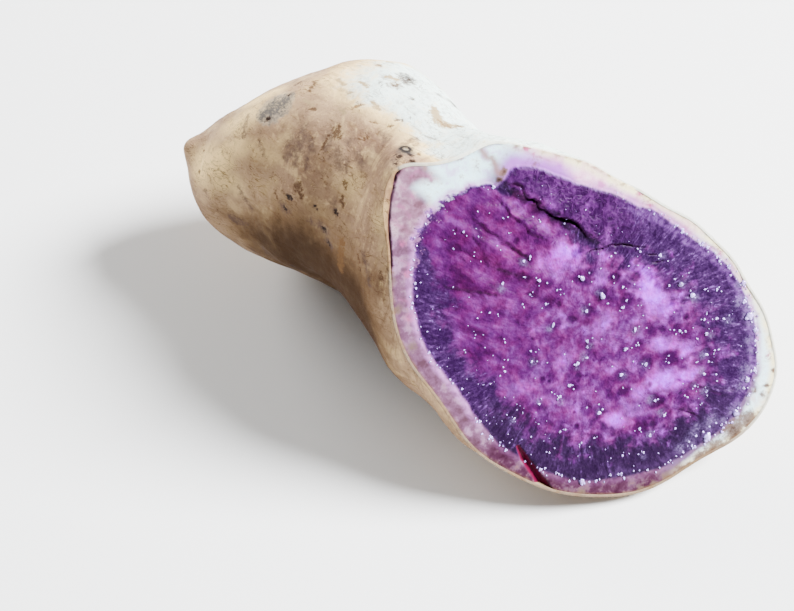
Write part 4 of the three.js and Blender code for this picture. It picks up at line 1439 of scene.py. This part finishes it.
# Colours as scene-linear red, green, blue
SKIN_TAN = (0.255, 0.157, 0.092)
SKIN_CREAM = (0.41, 0.265, 0.150)
# a painted highlight: bluish white for the top and back of the skin, as if in bright light
SKIN_PAINTED_HIGHLIGHT = (0.70, 0.82, 0.78)
# pale cream, also used as painted light on the root end and at the edge of the painted highlight
SKIN_CREAM_AND_PAINTED_LIGHT = (0.88, 0.62, 0.27)
SKIN_YELLOW = (0.255, 0.163, 0.082)
SKIN_PINKISH = (0.20, 0.118, 0.074)
# painted shade for the low part of the front, lighter and darker
SKIN_PAINTED_UNDER_SHADE = (0.122, 0.067, 0.029)
SKIN_PAINTED_LOW_SHADE = (0.030, 0.0118, 0.0038)
SKIN_OCHRE = (0.15, 0.074, 0.028)
SKIN_BROWN = (0.075, 0.036, 0.017)
SKIN_HAZE = (0.088, 0.055, 0.044)
SKIN_GREY = (0.066, 0.061, 0.060)
SKIN_GREY_PALE = (0.31, 0.285, 0.225)
SKIN_DARK = (0.024, 0.014, 0.010)
MARK_TAN = (0.34, 0.24, 0.12)
SCAR_DARK = (0.022, 0.018, 0.017)
SKIN_EDGE = (0.13, 0.080, 0.047)
SKIN_EDGE_PALE = (0.86, 0.86, 0.74)
FLAP_SHADE = (0.60, 0.53, 0.47)

# Layers of the skin's marks: kind, tint, raggedness, where the layer starts and is full, and its strength
MARK_LAYERS = [
    ("tan", MARK_TAN, 0.7, 0.1, 0.9, 0.95), ("ochre", SKIN_OCHRE, 0.85, 0.2, 1.1, 0.85),
    ("grey", SKIN_GREY_PALE, 0.4, 0.0, 0.5, 0.5), ("grey", SKIN_GREY, 0.85, 0.25, 1.15, 0.9),
    ("haze", SKIN_HAZE, 0.7, 0.3, 1.25, 0.72), ("brown", SKIN_BROWN, 0.95, 0.4, 1.0, 0.85),
    ("dark", SKIN_HAZE, 0.9, 0.1, 0.9, 0.7), ("dark", SKIN_DARK, 0.7, 0.55, 0.95, 1.0),
]

# Bark: darkest, middle and palest in each part of the ring
BARK_LEFT = [(0.070, 0.030, 0.048), (0.13, 0.056, 0.108), (0.34, 0.18, 0.32)]
BARK_RIGHT = [(0.58, 0.56, 0.62), (0.66, 0.88, 0.98), (0.74, 0.96, 1.0)]
BARK_TOP = [(0.48, 0.14, 0.36), (0.80, 0.44, 0.62), (0.96, 0.86, 0.84)]
BARK_BOTTOM = [(0.028, 0.0055, 0.017), (0.050, 0.0150, 0.035), (0.12, 0.053, 0.100)]
BARK_WEDGE = [(0.55, 0.50, 0.76), (0.60, 0.90, 1.0), (0.70, 0.96, 1.0)]
BARK_CORNER = [(0.11, 0.048, 0.07), (0.21, 0.10, 0.16), (0.48, 0.31, 0.40)]
# Parts of the bark: colours, and the direction, half width and softness of each part's sector (degrees)
BARK_SECTORS = [
    (BARK_BOTTOM, -99, 30, 14), (BARK_RIGHT, -12, 40, 12), (BARK_TOP, 68, 34, 12), (BARK_WEDGE, 120, 14, 9),
]
BARK_TAN = (0.24, 0.12, 0.11)
BARK_INNER = (0.46, 0.17, 0.50)
BARK_GLOW = (0.34, 0.08, 0.50)
BARK_FRINGE = (0.125, 0.062, 0.15)
STAIN_PINK = (0.40, 0.05, 0.19)
BARK_LINE = (0.26, 0.07, 0.17)
STAIN_BROWN = (0.045, 0.024, 0.018)
STAIN_TAN = (0.125, 0.078, 0.062)
# Layers of the bark's stains: kind, where the layer starts and is full, tint and strength
STAIN_LAYERS = [
    ("pink", 0.15, 0.95, STAIN_PINK, 0.95), ("brown", 0.0, 0.7, STAIN_TAN, 0.95),
    ("brown", 0.62, 1.3, STAIN_BROWN, 1.0),
]
# painted shadow in the slit between the skin and the bark
PAINTED_SLIT_SHADOW = (0.05, 0.006, 0.016)
GASH_RED = (0.085, 0.002, 0.022)

# Flesh: places along a scale of paleness, and the colours there
BAND_SCALE = [
    (0.15, (0.0140, 0.0020, 0.026)), (0.29, (0.0195, 0.0045, 0.034)), (0.41, (0.0260, 0.0070, 0.043)),
    (0.50, (0.0330, 0.0100, 0.053)), (0.60, (0.0440, 0.0150, 0.069)), (0.72, (0.0680, 0.0250, 0.108)),
    (0.92, (0.1500, 0.0560, 0.275)),
]
SLAB_SCALE = [
    (0.15, (0.0170, 0.0013, 0.027)), (0.29, (0.0240, 0.0026, 0.036)), (0.41, (0.0330, 0.0047, 0.047)),
    (0.50, (0.0430, 0.0070, 0.060)), (0.60, (0.0560, 0.0100, 0.078)), (0.72, (0.0740, 0.0140, 0.105)),
    (0.92, (0.1050, 0.0220, 0.150)),
]
INNER_SCALE = [
    (0.10, (0.0260, 0.0012, 0.033)), (0.27, (0.0480, 0.0030, 0.054)), (0.40, (0.0680, 0.0075, 0.077)),
    (0.50, (0.0920, 0.0140, 0.108)), (0.60, (0.1250, 0.0190, 0.155)), (0.72, (0.1850, 0.0200, 0.250)),
    (0.86, (0.3000, 0.0150, 0.500)), (1.00, (0.4400, 0.0180, 0.920)),
]
BAND_EDGE = (0.15, 0.05, 0.24)
BAND_EDGE_LOW = (0.045, 0.018, 0.070)
FLESH_MAGENTA = (1.02, 0.72, 0.84)
BAND_BLUE = (0.54, 0.55, 0.54)
BAND_CALM = (0.044, 0.018, 0.068)
# painted shade in the cracks and along the torn ridges, and darker painted shade deep in the cracks
CRACK_PAINTED_SHADE = (0.034, 0.0014, 0.036)
CRACK_PAINTED_DEEP_SHADE = (0.010, 0.0005, 0.011)
BARK_CREAM = (0.86, 0.76, 0.46)
# Tints that the inner flesh drifts between, from reddish to bluish
TINTS = [
    (0.30, (1.14, 0.80, 0.86)), (0.44, (1.05, 0.95, 0.96)), (0.54, (0.98, 1.05, 1.03)),
    (0.70, (0.90, 1.20, 1.08)),
]

LATEX_WHITE = (0.56, 0.39, 1.0)
LATEX_FILM = (0.20, 0.13, 0.32)
LATEX_THIN = (0.15, 0.09, 0.27)


def sector(m, turns, degrees, half, soft):
    """1 near one direction from the middle of the cut, falling to 0 past half and soft (degrees)."""
    node = m.tree.nodes.new("ShaderNodeVectorMath")
    node.operation = "DOT_PRODUCT"
    m.feed(node.inputs[0], turns)
    node.inputs[1].default_value = (math.cos(math.radians(degrees)), math.sin(math.radians(degrees)), 0)
    low, high = math.cos(math.radians(half + soft)), math.cos(math.radians(half))
    return m.spread(node.outputs["Value"], low, high)


def skin_grains(m):
    """The noises that the skin's colours and its relief share."""
    own = m.attribute("tuber", vector=True)
    sparse_scratches = m.threads(m.scale(own, (0.5, 1.2, 1.2)), 3.6, 0.010, 3.0, 0.8)
    dense_scratches = m.threads(m.scale(own, (0.35, 1.0, 1.0)), 2.3, 0.012, 3.0, 1.2)
    blotch = m.noise(own, 5.5, 5, 0.6, 0.6)
    scuffed = m.spread(blotch, 0.42, 0.58, 0.0, 0.75)
    return SimpleNamespace(
        own=own,
        broad=m.noise(own, 16, 3, 0.5, 0.4),
        blotch=blotch,
        patchy=m.noise(own, 1.3, 4, 0.65, 0.3),
        fine=m.noise(own, 0.7, 4, 0.65),
        speck=m.noise(own, 0.3, 2, 0.5),
        lines=m.noise(m.scale(own, (1.5, 0.28, 0.28)), 1.8, 5, 0.62, 0.6),
        along=m.noise(m.scale(own, (0.3, 1.2, 1.2)), 1.6, 5, 0.62, 0.6),
        scratches=m.times(m.larger(sparse_scratches, dense_scratches), scuffed),
    )


def mottled(m, grain, name, blotch, patchy):
    """An attribute of the skin with a mottled border."""
    field = m.attribute(name)
    return m.total(0.0, (field, 1.0, 0.0), (grain.blotch, blotch, 0.5), (grain.patchy, patchy, 0.5))


def skin_tones(m, grain):
    """The ground colour and the broad tones laid on it, with painted light on the root end and a painted
    highlight along the top.
    """

    def tone(colour, name, tint, most=1.0):
        return m.lay(colour, tint, mottled(m, grain, "tone_" + name, 0.7, 0.3), 0.1, 0.9, most)

    colour = m.lay(SKIN_TAN, SKIN_CREAM, grain.broad, 0.35, 0.65)
    colour = tone(colour, "yellow", SKIN_YELLOW)
    colour = tone(colour, "pinkish", SKIN_PINKISH)
    colour = m.lay(colour, SKIN_PINKISH, grain.blotch, 0.48, 0.70, 0.45)
    colour = m.lay(colour, SKIN_CREAM_AND_PAINTED_LIGHT, grain.blotch, 0.48, 0.30, 0.35)
    # white is a painted highlight along the top and back of the skin
    white = mottled(m, grain, "pale", 1.1, 0.4)
    colour = m.lay(colour, SKIN_CREAM_AND_PAINTED_LIGHT, white, 0.05, 0.55, 0.8)
    colour = tone(colour, "light", SKIN_CREAM_AND_PAINTED_LIGHT)
    colour = m.lay(colour, SKIN_PAINTED_HIGHLIGHT, white, 0.40, 0.95)
    colour = tone(colour, "brown", SKIN_BROWN, 0.8)
    return tone(colour, "ochre", SKIN_OCHRE, 0.9)


def skin_texture(m, grain, colour):
    """Lines that follow the cut near it, mottling, specks, scratches, and painted shade on the low part of
    the front.
    """
    low, near_cut = m.attribute("low"), m.attribute("near_cut")
    # the pale lines and patches are kept out of the painted shade low on the front
    wear_clear_of_painted_shade = m.math("SUBTRACT", 0.26, low, clamp=True)
    brown_lines = m.times(m.spread(grain.lines, 0.50, 0.72), near_cut)
    colour = m.mix(m.times(brown_lines, 0.6), colour, SKIN_BROWN)
    pale_lines = m.times(m.spread(grain.lines, 0.46, 0.32), near_cut)
    colour = m.mix(m.times(pale_lines, wear_clear_of_painted_shade), colour, SKIN_CREAM_AND_PAINTED_LIGHT)
    colour = m.lay(colour, SKIN_OCHRE, grain.along, 0.54, 0.74, 0.5)
    colour = m.lay(colour, SKIN_PINKISH, grain.patchy, 0.50, 0.72, 0.38)
    colour = m.mix(m.times(m.spread(grain.patchy, 0.46, 0.28), wear_clear_of_painted_shade), colour, SKIN_CREAM_AND_PAINTED_LIGHT)
    colour = m.lay(colour, SKIN_BROWN, grain.fine, 0.56, 0.74, 0.38)
    colour = m.lay(colour, SKIN_BROWN, grain.speck, 0.68, 0.76, 0.6)
    colour = m.mix(grain.scratches, colour, SKIN_BROWN)
    # painted shade: the low part of the front darkened in two steps, as if shaded under the lobe
    under = mottled(m, grain, "low", 0.45, 0.3)
    colour = m.lay(colour, SKIN_PAINTED_UNDER_SHADE, under, 0.0, 0.7, 0.78)
    return m.lay(colour, SKIN_PAINTED_LOW_SHADE, under, 0.4, 1.15, 0.88)


def skin_marks(m, grain, colour):
    """The marks, ragged and speckled."""
    torn = m.total(0.0, (grain.patchy, 2.0, 0.5), (grain.fine, 2.4, 0.5), (grain.speck, 1.2, 0.5))
    for name, tint, raggedness, low, high, strength in MARK_LAYERS:
        mark = m.attribute(name)
        ragged = m.spread(m.math("MULTIPLY_ADD", torn, raggedness, mark), low, high, 0.0, strength)
        colour = m.mix(m.times(ragged, m.spread(mark, 0.0, 0.35)), colour, tint)
    return colour


def skin_scar(m, grain, colour):
    """The ring-shaped scar of a bud, in its grey haze."""
    away = m.distance(m.scale(grain.own, SCAR_OVAL), skin_point(*SCAR_PLACE) * SCAR_OVAL)
    away = m.math("MULTIPLY_ADD", m.math("SUBTRACT", grain.fine, 0.5), 1.1, away)
    hazy = m.math("MULTIPLY_ADD", m.math("SUBTRACT", grain.patchy, 0.5), 3.0, away)
    colour = m.lay(colour, SKIN_GREY, hazy, 2.4, 0.9, 0.75)
    colour = m.lay(colour, SCAR_DARK, m.away_from(away, SCAR_RADIUS), 0.62, 0.12)
    return m.lay(colour, SKIN_GREY_PALE, away, 0.42, 0.22, 0.45)


def skin_end(m, grain, colour):
    """The end of the skin along the cut, painted shade on the flap, and a painted shadow on the skin's inner
    edge in the slit.
    """
    turns = m.attribute("rim_turn", vector=True)
    rim = m.lay(SKIN_EDGE, SKIN_EDGE_PALE, grain.blotch, 0.40, 0.58, 0.07)
    rim = m.mix(sector(m, turns, 45, 70, 25), rim, SKIN_EDGE_PALE)
    colour = m.mix(m.times(m.attribute("cut_end"), 0.8), colour, rim)
    colour = m.mix(m.attribute("flap"), colour, FLAP_SHADE, "MULTIPLY")
    return m.mix(m.attribute("painted_shadow_rim"), colour, PAINTED_SLIT_SHADOW)


def skin_material():
    m = Shader("yam_skin")
    grain = skin_grains(m)
    colour = skin_tones(m, grain)
    for layer in (skin_texture, skin_marks, skin_scar, skin_end):
        colour = layer(m, grain, colour)
    relief = m.total(
        0.0, (grain.lines, 0.8, 0.0), (grain.fine, 0.5, 0.0), (grain.speck, 0.25, 0.0),
        (grain.patchy, 0.6, 0.0), (grain.scratches, -0.4, 0.0),
    )
    roughness = m.spread(grain.blotch, 0.3, 0.7, 0.5, 0.68)
    m.set(Base_Color=colour, Roughness=roughness, Specular_IOR_Level=0.05, Normal=m.bump(relief, 0.22, 0.7))
    return m.material


def cut_grains(m):
    """The noises and the places that the colours of the cut and its relief share."""
    own, polar = m.attribute("own", vector=True), m.attribute("polar", vector=True)
    turns = m.attribute("rim_turn", vector=True)
    wide_curls = m.threads(own, 3.0, 0.13, 1.0, 0.8)
    small_curls = m.threads(m.scale(own, (1.0, 1.4, 1.0)), 2.2, 0.09, 1.0, 0.9)
    return SimpleNamespace(
        turns=turns,
        ring=m.attribute("ring"),
        band=m.attribute("band"),
        edge=m.attribute("edge"),
        at_bottom=sector(m, turns, -92, 46, 18),
        cloud=m.noise(own, 4.2, 3, 0.5, 0.3),
        mottle=m.noise(own, 1.7, 3, 0.5, 0.35),
        fine=m.noise(own, 0.5, 3, 0.6, 0.5),
        hue=m.noise(own, 3.1, 4, 0.6, 0.3),
        fibre=m.noise(m.scale(polar, (1, 1, 0.4)), 0.8, 4, 0.6, 0.5),
        wide_fibre=m.noise(m.scale(polar, (1, 1, 0.14)), 2.4, 3, 0.5, 0.3),
        flecks=m.noise(m.scale(polar, (1, 1, 0.36)), 0.62, 2, 0.5, 0.2),
        folds=m.noise(m.attribute("fold", vector=True), 1.9, 3, 0.5, 0.5),
        curls=m.larger(wide_curls, small_curls),
        veins=m.threads(own, 3.4, 0.016, 3.0, 1.0),
    )


def bark_ground(m, cut):
    """The bark's own colours, part by part round the cut."""
    paleness = m.total(0.5, (cut.cloud, 1.5, 0.5), (cut.mottle, 1.4, 0.5), (cut.fine, 0.4, 0.5))

    def part(colours):
        darker = m.lay(colours[0], colours[1], paleness, 0.05, 0.55)
        return m.lay(darker, colours[2], paleness, 0.45, 0.95)

    bark = part(BARK_LEFT)
    for colours, *place in BARK_SECTORS:
        bark = m.mix(sector(m, cut.turns, *place), bark, part(colours))
    corner = m.times(m.spread(cut.edge, 6.4, 3.6), sector(m, cut.turns, 133, 4, 4))
    corner = m.larger(corner, sector(m, cut.turns, 139, 4, 4))
    return m.mix(corner, bark, part(BARK_CORNER))


def bark_edges(m, cut, bark):
    """Cream along the skin, and purple, a mottled fringe and a glow along the ring."""
    outer = m.times(m.spread(cut.edge, 2.8, 0.9), m.spread(cut.cloud, 0.35, 0.6, 0.5, 1.0))
    bark = m.mix(m.times(outer, sector(m, cut.turns, 22, 72, 20)), bark, BARK_CREAM)
    near_ring = m.times(m.spread(cut.ring, -1.7, -0.1), m.spread(cut.mottle, 0.3, 0.65, 0.35, 1.0))
    near_ring = m.times(near_ring, m.total(1.0, (cut.at_bottom, -0.85, 0.0)))
    bark = m.mix(near_ring, bark, BARK_INNER)
    fringe = m.spread(cut.ring, -2.6, 0.2)
    fringe = m.total(0.0, (fringe, 1.3, 0.0), (cut.mottle, 1.6, 0.5), (cut.cloud, 1.2, 0.5))
    fringe = m.times(m.spread(fringe, 0.15, 1.15), sector(m, cut.turns, -45, 16, 9))
    bark = m.mix(fringe, bark, BARK_FRINGE)
    glow = m.times(m.spread(cut.ring, -5.0, -0.8), sector(m, cut.turns, 102, 8, 9))
    return m.mix(m.times(glow, 0.95), bark, BARK_GLOW)


def bark_stains(m, cut, bark):
    """Stains, lines and an ochre edge on the bark."""
    for name, low, high, tint, strength in STAIN_LAYERS:
        stain = m.attribute(name)
        shown = m.total(
            0.0, (stain, 1.0, 0.0), (cut.cloud, 0.6, 0.5), (cut.mottle, 1.2, 0.5), (cut.fine, 0.8, 0.5)
        )
        bark = m.lay(bark, tint, shown, low, high, strength)
    maroon = m.times(m.attribute("maroon"), m.spread(cut.mottle, 0.3, 0.65, 0.1, 0.8))
    bark = m.mix(maroon, bark, BARK_LINE)
    bark = m.mix(m.times(m.attribute("ochre"), 0.9), bark, BARK_TAN)
    outer_line = m.times(m.spread(cut.edge, 1.3, 0.3), m.spread(cut.mottle, 0.35, 0.65, 0.1, 0.8))
    return m.mix(outer_line, bark, SKIN_OCHRE)


def band_colour(m, cut):
    """The dark band with its short radial streaks, and the torn slab with its curls."""
    deep = m.attribute("deep")
    shade = m.total(
        0.42, (cut.fibre, 1.2, 0.5), (cut.wide_fibre, 0.6, 0.5), (cut.fine, 0.8, 0.5), (cut.cloud, 0.9, 0.5),
        (m.spread(cut.flecks, 0.57, 0.68), 0.30, 0.0), (m.spread(cut.flecks, 0.45, 0.32), -0.16, 0.0),
    )
    dark = m.ramp(shade, BAND_SCALE)
    dark = m.mix(m.times(cut.at_bottom, 0.2), dark, BAND_CALM)
    dark = m.mix(cut.at_bottom, dark, BAND_BLUE, "MULTIPLY")
    shade = m.total(
        0.23, (cut.cloud, 1.0, 0.5), (cut.mottle, 0.8, 0.5), (cut.fine, 0.5, 0.5), (cut.curls, 0.30, 0.0),
        (deep, -0.22, 0.0),
    )
    return m.mix(m.attribute("slab"), dark, m.ramp(shade, SLAB_SCALE))


def inner_colour(m, cut):
    """The inner flesh, with lilac patches, dark tubes, fine veins and, to the left, torn folds."""
    tube = m.times(m.attribute("tube"), m.spread(cut.mottle, 0.3, 0.5, 0.55, 1.0))
    lilac, leftward, deep = m.attribute("lilac"), m.attribute("leftward"), m.attribute("deep")
    veined = m.times(cut.veins, m.spread(cut.hue, 0.42, 0.62))
    varied = m.total(
        0.0, (cut.cloud, 1.05, 0.5), (cut.mottle, 1.0, 0.5), (cut.fine, 0.28, 0.5), (cut.fibre, 0.2, 0.5),
        (veined, -0.28, 0.0),
    )
    folded = m.total(
        0.0, (cut.folds, 1.1, 0.5), (cut.cloud, 0.5, 0.5), (cut.mottle, 0.45, 0.5), (cut.fine, 0.22, 0.5)
    )
    varied = m.math("MULTIPLY_ADD", m.math("SUBTRACT", folded, varied), leftward, varied)
    shade = m.total(
        0.485, (lilac, 0.46, 0.0), (m.attribute("rings"), 0.07, 0.0), (tube, -0.50, 0.0), (deep, -0.24, 0.0),
        (leftward, -0.13, 0.0),
    )
    shade = m.math("MULTIPLY_ADD", varied, m.total(1.0, (lilac, -0.65, 0.0)), shade)
    inner = m.mix(1.0, m.ramp(shade, INNER_SCALE), m.ramp(cut.hue, TINTS), "MULTIPLY")
    return m.mix(m.attribute("torn"), inner, FLESH_MAGENTA, "MULTIPLY")


def ring_lines(m, cut, flesh):
    """The lighter lines along the ring, and the films of latex."""
    edge_tint = m.mix(cut.at_bottom, BAND_EDGE, BAND_EDGE_LOW)
    cambium = m.times(m.spread(cut.ring, 0.8, 0.0), m.spread(cut.fibre, 0.42, 0.60, 0.1, 1.0))
    flesh = m.mix(cambium, flesh, edge_tint)
    from_line = m.away_from(cut.ring, m.spread(cut.mottle, 0.3, 0.7, 1.1, 1.7))
    line = m.times(m.spread(from_line, 1.1, 0.0, 0.0, 0.7), sector(m, cut.turns, -12, 60, 25))
    flesh = m.mix(m.times(line, m.spread(cut.fibre, 0.36, 0.60, 0.25, 1.0)), flesh, edge_tint)
    film = m.times(m.attribute("smear"), m.spread(cut.fine, 0.34, 0.68, 0.12, 0.68))
    return m.mix(film, flesh, LATEX_FILM)


def flesh_border(m, cut):
    """Below 0 on the bark and above 0 on the flesh, with a frayed border to the upper left."""
    frayed = m.attribute("frayed")
    uneven = m.math("SUBTRACT", m.total(0.0, (cut.mottle, 0.6, 0.0), (cut.fine, 0.4, 0.0)), 0.5)
    sharp = m.times(cut.ring, m.total(1.0, (frayed, -0.68, 0.0)))
    return m.math("MULTIPLY_ADD", m.times(frayed, uneven), 6.0, sharp)


def cut_breaks(m, colour):
    """Painted shade in the cracks and along the ridges, a painted shadow in the slit beside the skin, and the
    knife's gash.
    """
    painted_crease_shade = m.attribute("painted_crease_shade")
    colour = m.lay(colour, CRACK_PAINTED_SHADE, painted_crease_shade, 0.0, 0.35, 0.85)
    colour = m.lay(colour, CRACK_PAINTED_DEEP_SHADE, painted_crease_shade, 0.35, 0.95)
    # painted shadow in the slit
    colour = m.mix(m.attribute("slit"), colour, PAINTED_SLIT_SHADOW)
    return m.mix(m.attribute("gash"), colour, GASH_RED)


def flesh_material():
    m = Shader("yam_flesh")
    cut = cut_grains(m)
    bark = bark_stains(m, cut, bark_edges(m, cut, bark_ground(m, cut)))
    past = m.total(
        0.0, (cut.band, 1.0, 0.0), (cut.wide_fibre, 0.9, 0.5), (cut.mottle, 0.9, 0.5), (cut.cloud, 1.2, 0.5)
    )
    flesh = m.lay(band_colour(m, cut), inner_colour(m, cut), past, 0.50, 1.25)
    flesh = ring_lines(m, cut, flesh)
    colour = cut_breaks(m, m.lay(bark, flesh, flesh_border(m, cut), -0.3, 0.4))

    curls = m.times(cut.curls, m.attribute("slab"))
    relief = m.total(
        0.0, (cut.fine, 0.5, 0.0), (cut.mottle, 0.6, 0.0), (cut.fibre, 0.4, 0.0), (curls, 0.35, 0.0)
    )
    relief = m.times(relief, m.spread(cut.ring, -0.4, 0.6, 0.25, 1.0))
    roughness = m.spread(cut.fine, 0.3, 0.7, 0.3, 0.5)
    m.set(Base_Color=colour, Roughness=roughness, Specular_IOR_Level=0.04, Normal=m.bump(relief, 0.3, 0.7))
    return m.material


def latex_material():
    m = Shader("latex")
    place = m.tree.nodes.new("ShaderNodeTexCoord").outputs["Object"]
    cloud = m.noise(place, 0.45 * MM, 3, 0.6)
    thin = m.total(0.0, (m.attribute("crest"), -1.0, 0.85), (cloud, 2.4, 0.5))
    m.set(Base_Color=m.lay(LATEX_WHITE, LATEX_THIN, thin, -0.1, 0.7))
    m.set(Roughness=0.15, Specular_IOR_Level=0.5, Coat_Weight=0.4, Coat_Roughness=0.05)
    return m.material


# ---------------------------------------------------------------- the piece
skin = make_skin()
skin.data.materials.append(skin_material())
flesh = make_flesh()
flesh.data.materials.append(flesh_material())
drops = make_drops()
drops.data.materials.append(latex_material())

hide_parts("yam_half")
for piece, slot in ((skin, "skin"), (flesh, "flesh"), (drops, "latex")):
    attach(piece, "root")

# ---------------------------------------------------------------- floor, light and camera
FLOOR_SIZE = 3.0
FLOOR_WHITE = (0.82, 0.82, 0.82)
FLOOR_Z = -0.00005  # just under the tuber, so that the two don't share a plane
SKY_COLOUR = (0.94, 0.97, 1.0, 1)
SKY_STRENGTH = 0.3
LIGHT_AIM = (0, 0, 0.02)
WINDOW_PLACE, WINDOW_SIZE, WINDOW_POWER, WINDOW_COLOUR = (0.63, 0.84, 0.93), 0.6, 160, (0.97, 0.985, 1.0)
FILL_PLACE, FILL_SIZE, FILL_POWER, FILL_COLOUR = (-1.2, 0.0, 0.45), 0.8, 30, (1.0, 0.97, 0.93)

half = FLOOR_SIZE / 2
corners = [(-half, -half, 0), (half, -half, 0), (half, half, 0), (-half, half, 0)]
floor_mesh = bpy.data.meshes.new("floor")
floor_mesh.from_pydata(corners, [], [(0, 1, 2, 3)])
floor = bpy.data.objects.new("floor", floor_mesh)
bpy.context.scene.collection.objects.link(floor)
paper = Shader("floor")
paper.set(Base_Color=FLOOR_WHITE, Roughness=0.9, Specular_IOR_Level=0.1)
floor.data.materials.append(paper.material)
floor.location.z = FLOOR_Z

world = bpy.data.worlds.new("studio")
world.use_nodes = True
sky = world.node_tree.nodes["Background"]
sky.inputs["Color"].default_value = SKY_COLOUR
sky.inputs["Strength"].default_value = SKY_STRENGTH
bpy.context.scene.world = world


def add_light(name, place, size, power, colour):
    """A round area light that's aimed at the tuber."""
    light = bpy.data.lights.new(name, "AREA")
    light.shape = "DISK"
    light.size = size
    light.energy = power
    light.color = colour
    thing = bpy.data.objects.new(name, light)
    thing.location = place
    thing.rotation_euler = (Vector(LIGHT_AIM) - Vector(place)).to_track_quat("-Z", "Y").to_euler()
    bpy.context.scene.collection.objects.link(thing)


add_light("window", WINDOW_PLACE, WINDOW_SIZE, WINDOW_POWER, WINDOW_COLOUR)
add_light("fill", FILL_PLACE, FILL_SIZE, FILL_POWER, FILL_COLOUR)

CAMERA_AZIMUTH, CAMERA_ELEVATION = 41.51, 57.33
CAMERA_DISTANCE, CAMERA_LEFT, CAMERA_UP = 218.0, 36.97, 3.90  # from the middle of the cut, in mm
SENSOR = 36.0
CLIP_START = 0.01

view_right, view_up, view_back = view_axes(CAMERA_AZIMUTH, CAMERA_ELEVATION)
eye = REST_PLACE + view_back * CAMERA_DISTANCE - view_right * CAMERA_LEFT + view_up * CAMERA_UP
camera = bpy.data.objects.new("camera", bpy.data.cameras.new("camera"))
camera.data.sensor_width = SENSOR
camera.data.lens = SENSOR / 2 / math.tan(math.radians(FIELD_OF_VIEW / 2))
camera.data.clip_start = CLIP_START
turned = Matrix([list(row) for row in np.stack([view_right, view_up, view_back], 1)]).to_4x4()
camera.matrix_world = Matrix.Translation(Vector(eye * MM)) @ turned
bpy.context.scene.collection.objects.link(camera)
bpy.context.scene.camera = camera
